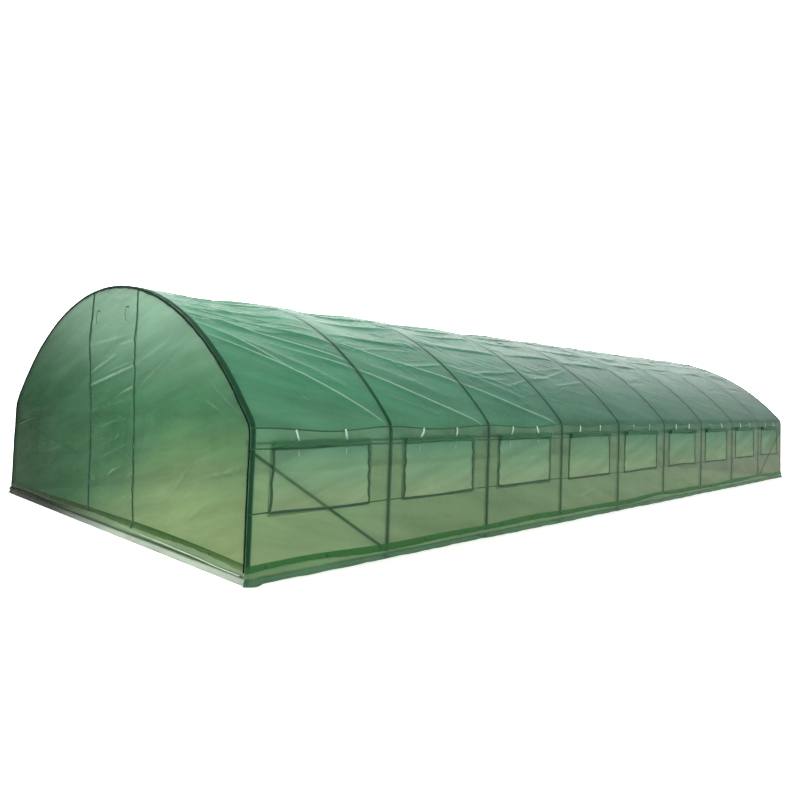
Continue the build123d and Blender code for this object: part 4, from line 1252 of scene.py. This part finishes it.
# ---------------------------------------------------------------- camera, floor and light
# A viewer stands off the front right corner. The floor is pale and glows a little, and the sky
# is pale with broad brighter and darker patches.
EYE = (6.5134, -8.6562, 1.3303)
YAW, PITCH, ROLL_OF_VIEW = np.radians([-44.5208, 2.9638, 1.9588])
LENS, SENSOR = 30.626, 36.0  # in millimetres
LENS_SHIFT = -0.05
FAR_CLIP = 400.0
FLOOR_REACH = 120.0
FLOOR_GLOW = 0.50

ahead = np.array([np.sin(YAW) * np.cos(PITCH), np.cos(YAW) * np.cos(PITCH), np.sin(PITCH)])
level = np.array([np.cos(YAW), -np.sin(YAW), 0])
upright = np.cross(level, ahead)
right = np.cos(ROLL_OF_VIEW) * level + np.sin(ROLL_OF_VIEW) * upright
above = np.cos(ROLL_OF_VIEW) * upright - np.sin(ROLL_OF_VIEW) * level
camera_data = bpy.data.cameras.new("camera")
camera_data.lens = LENS
camera_data.sensor_width = SENSOR
camera_data.shift_y = LENS_SHIFT
camera_data.clip_end = FAR_CLIP
camera = bpy.data.objects.new("camera", camera_data)
turn = Matrix([[*values] for values in np.stack([right, above, -ahead], -1)])
camera.matrix_world = Matrix.Translation(EYE) @ turn.to_4x4()
bpy.context.scene.collection.objects.link(camera)
bpy.context.scene.camera = camera

floor_mesh = bpy.data.meshes.new("floor")
floor_corners = [(x * FLOOR_REACH, y * FLOOR_REACH, 0)
                 for x, y in ((-1, -1), (1, -1), (1, 1), (-1, 1))]
floor_mesh.from_pydata(floor_corners, [], [(0, 1, 2, 3)])
floor = bpy.data.objects.new("floor", floor_mesh)
bpy.context.scene.collection.objects.link(floor)
floor_paint, tree, surface = new_material("pale_floor")
matt = node(tree, "BsdfDiffuse", Color=colour("#dfe0da"))
shine = node(tree, "Emission", Color=(1, 1, 1, 1), Strength=FLOOR_GLOW)
tree.links.new(node(tree, "AddShader", n0=matt, n1=shine), surface)
floor_mesh.materials.append(floor_paint)

world = bpy.data.worlds.new("soft_sky")
bpy.context.scene.world = world
world.use_nodes = True
tree = world.node_tree
tree.nodes.clear()
direction = node(tree, "TexCoord", out="Generated")
brightness = 1.0
# Bright and dark parts of the overcast: where each lies, how far it spreads, how much it adds.
for middle, spread, added in (((-0.60, 0.75, 0.22), 48, 3.6), ((-0.45, -0.60, 0.80), 42, 3.5),
                              ((-0.90, -0.42, -0.10), 42, -0.85)):
    toward = np.array(middle) / np.linalg.norm(middle)
    facing = node(tree, "VectorMath", {"operation": "DOT_PRODUCT"}, out="Value", n0=direction,
                  n1=toward)
    patch = node(tree, "MapRange", SMOOTH, Value=facing, n1=np.cos(np.radians(spread)), n2=1.0,
                 n3=0.0, n4=added)
    brightness = node(tree, "Math", {"operation": "ADD"}, n0=patch, n1=brightness)
sky = node(tree, "Background", Color=(1, 1, 1, 1), Strength=brightness)
tree.links.new(sky, tree.nodes.new("ShaderNodeOutputWorld").inputs["Surface"])
bpy.context.scene.view_settings.view_transform = "Standard"
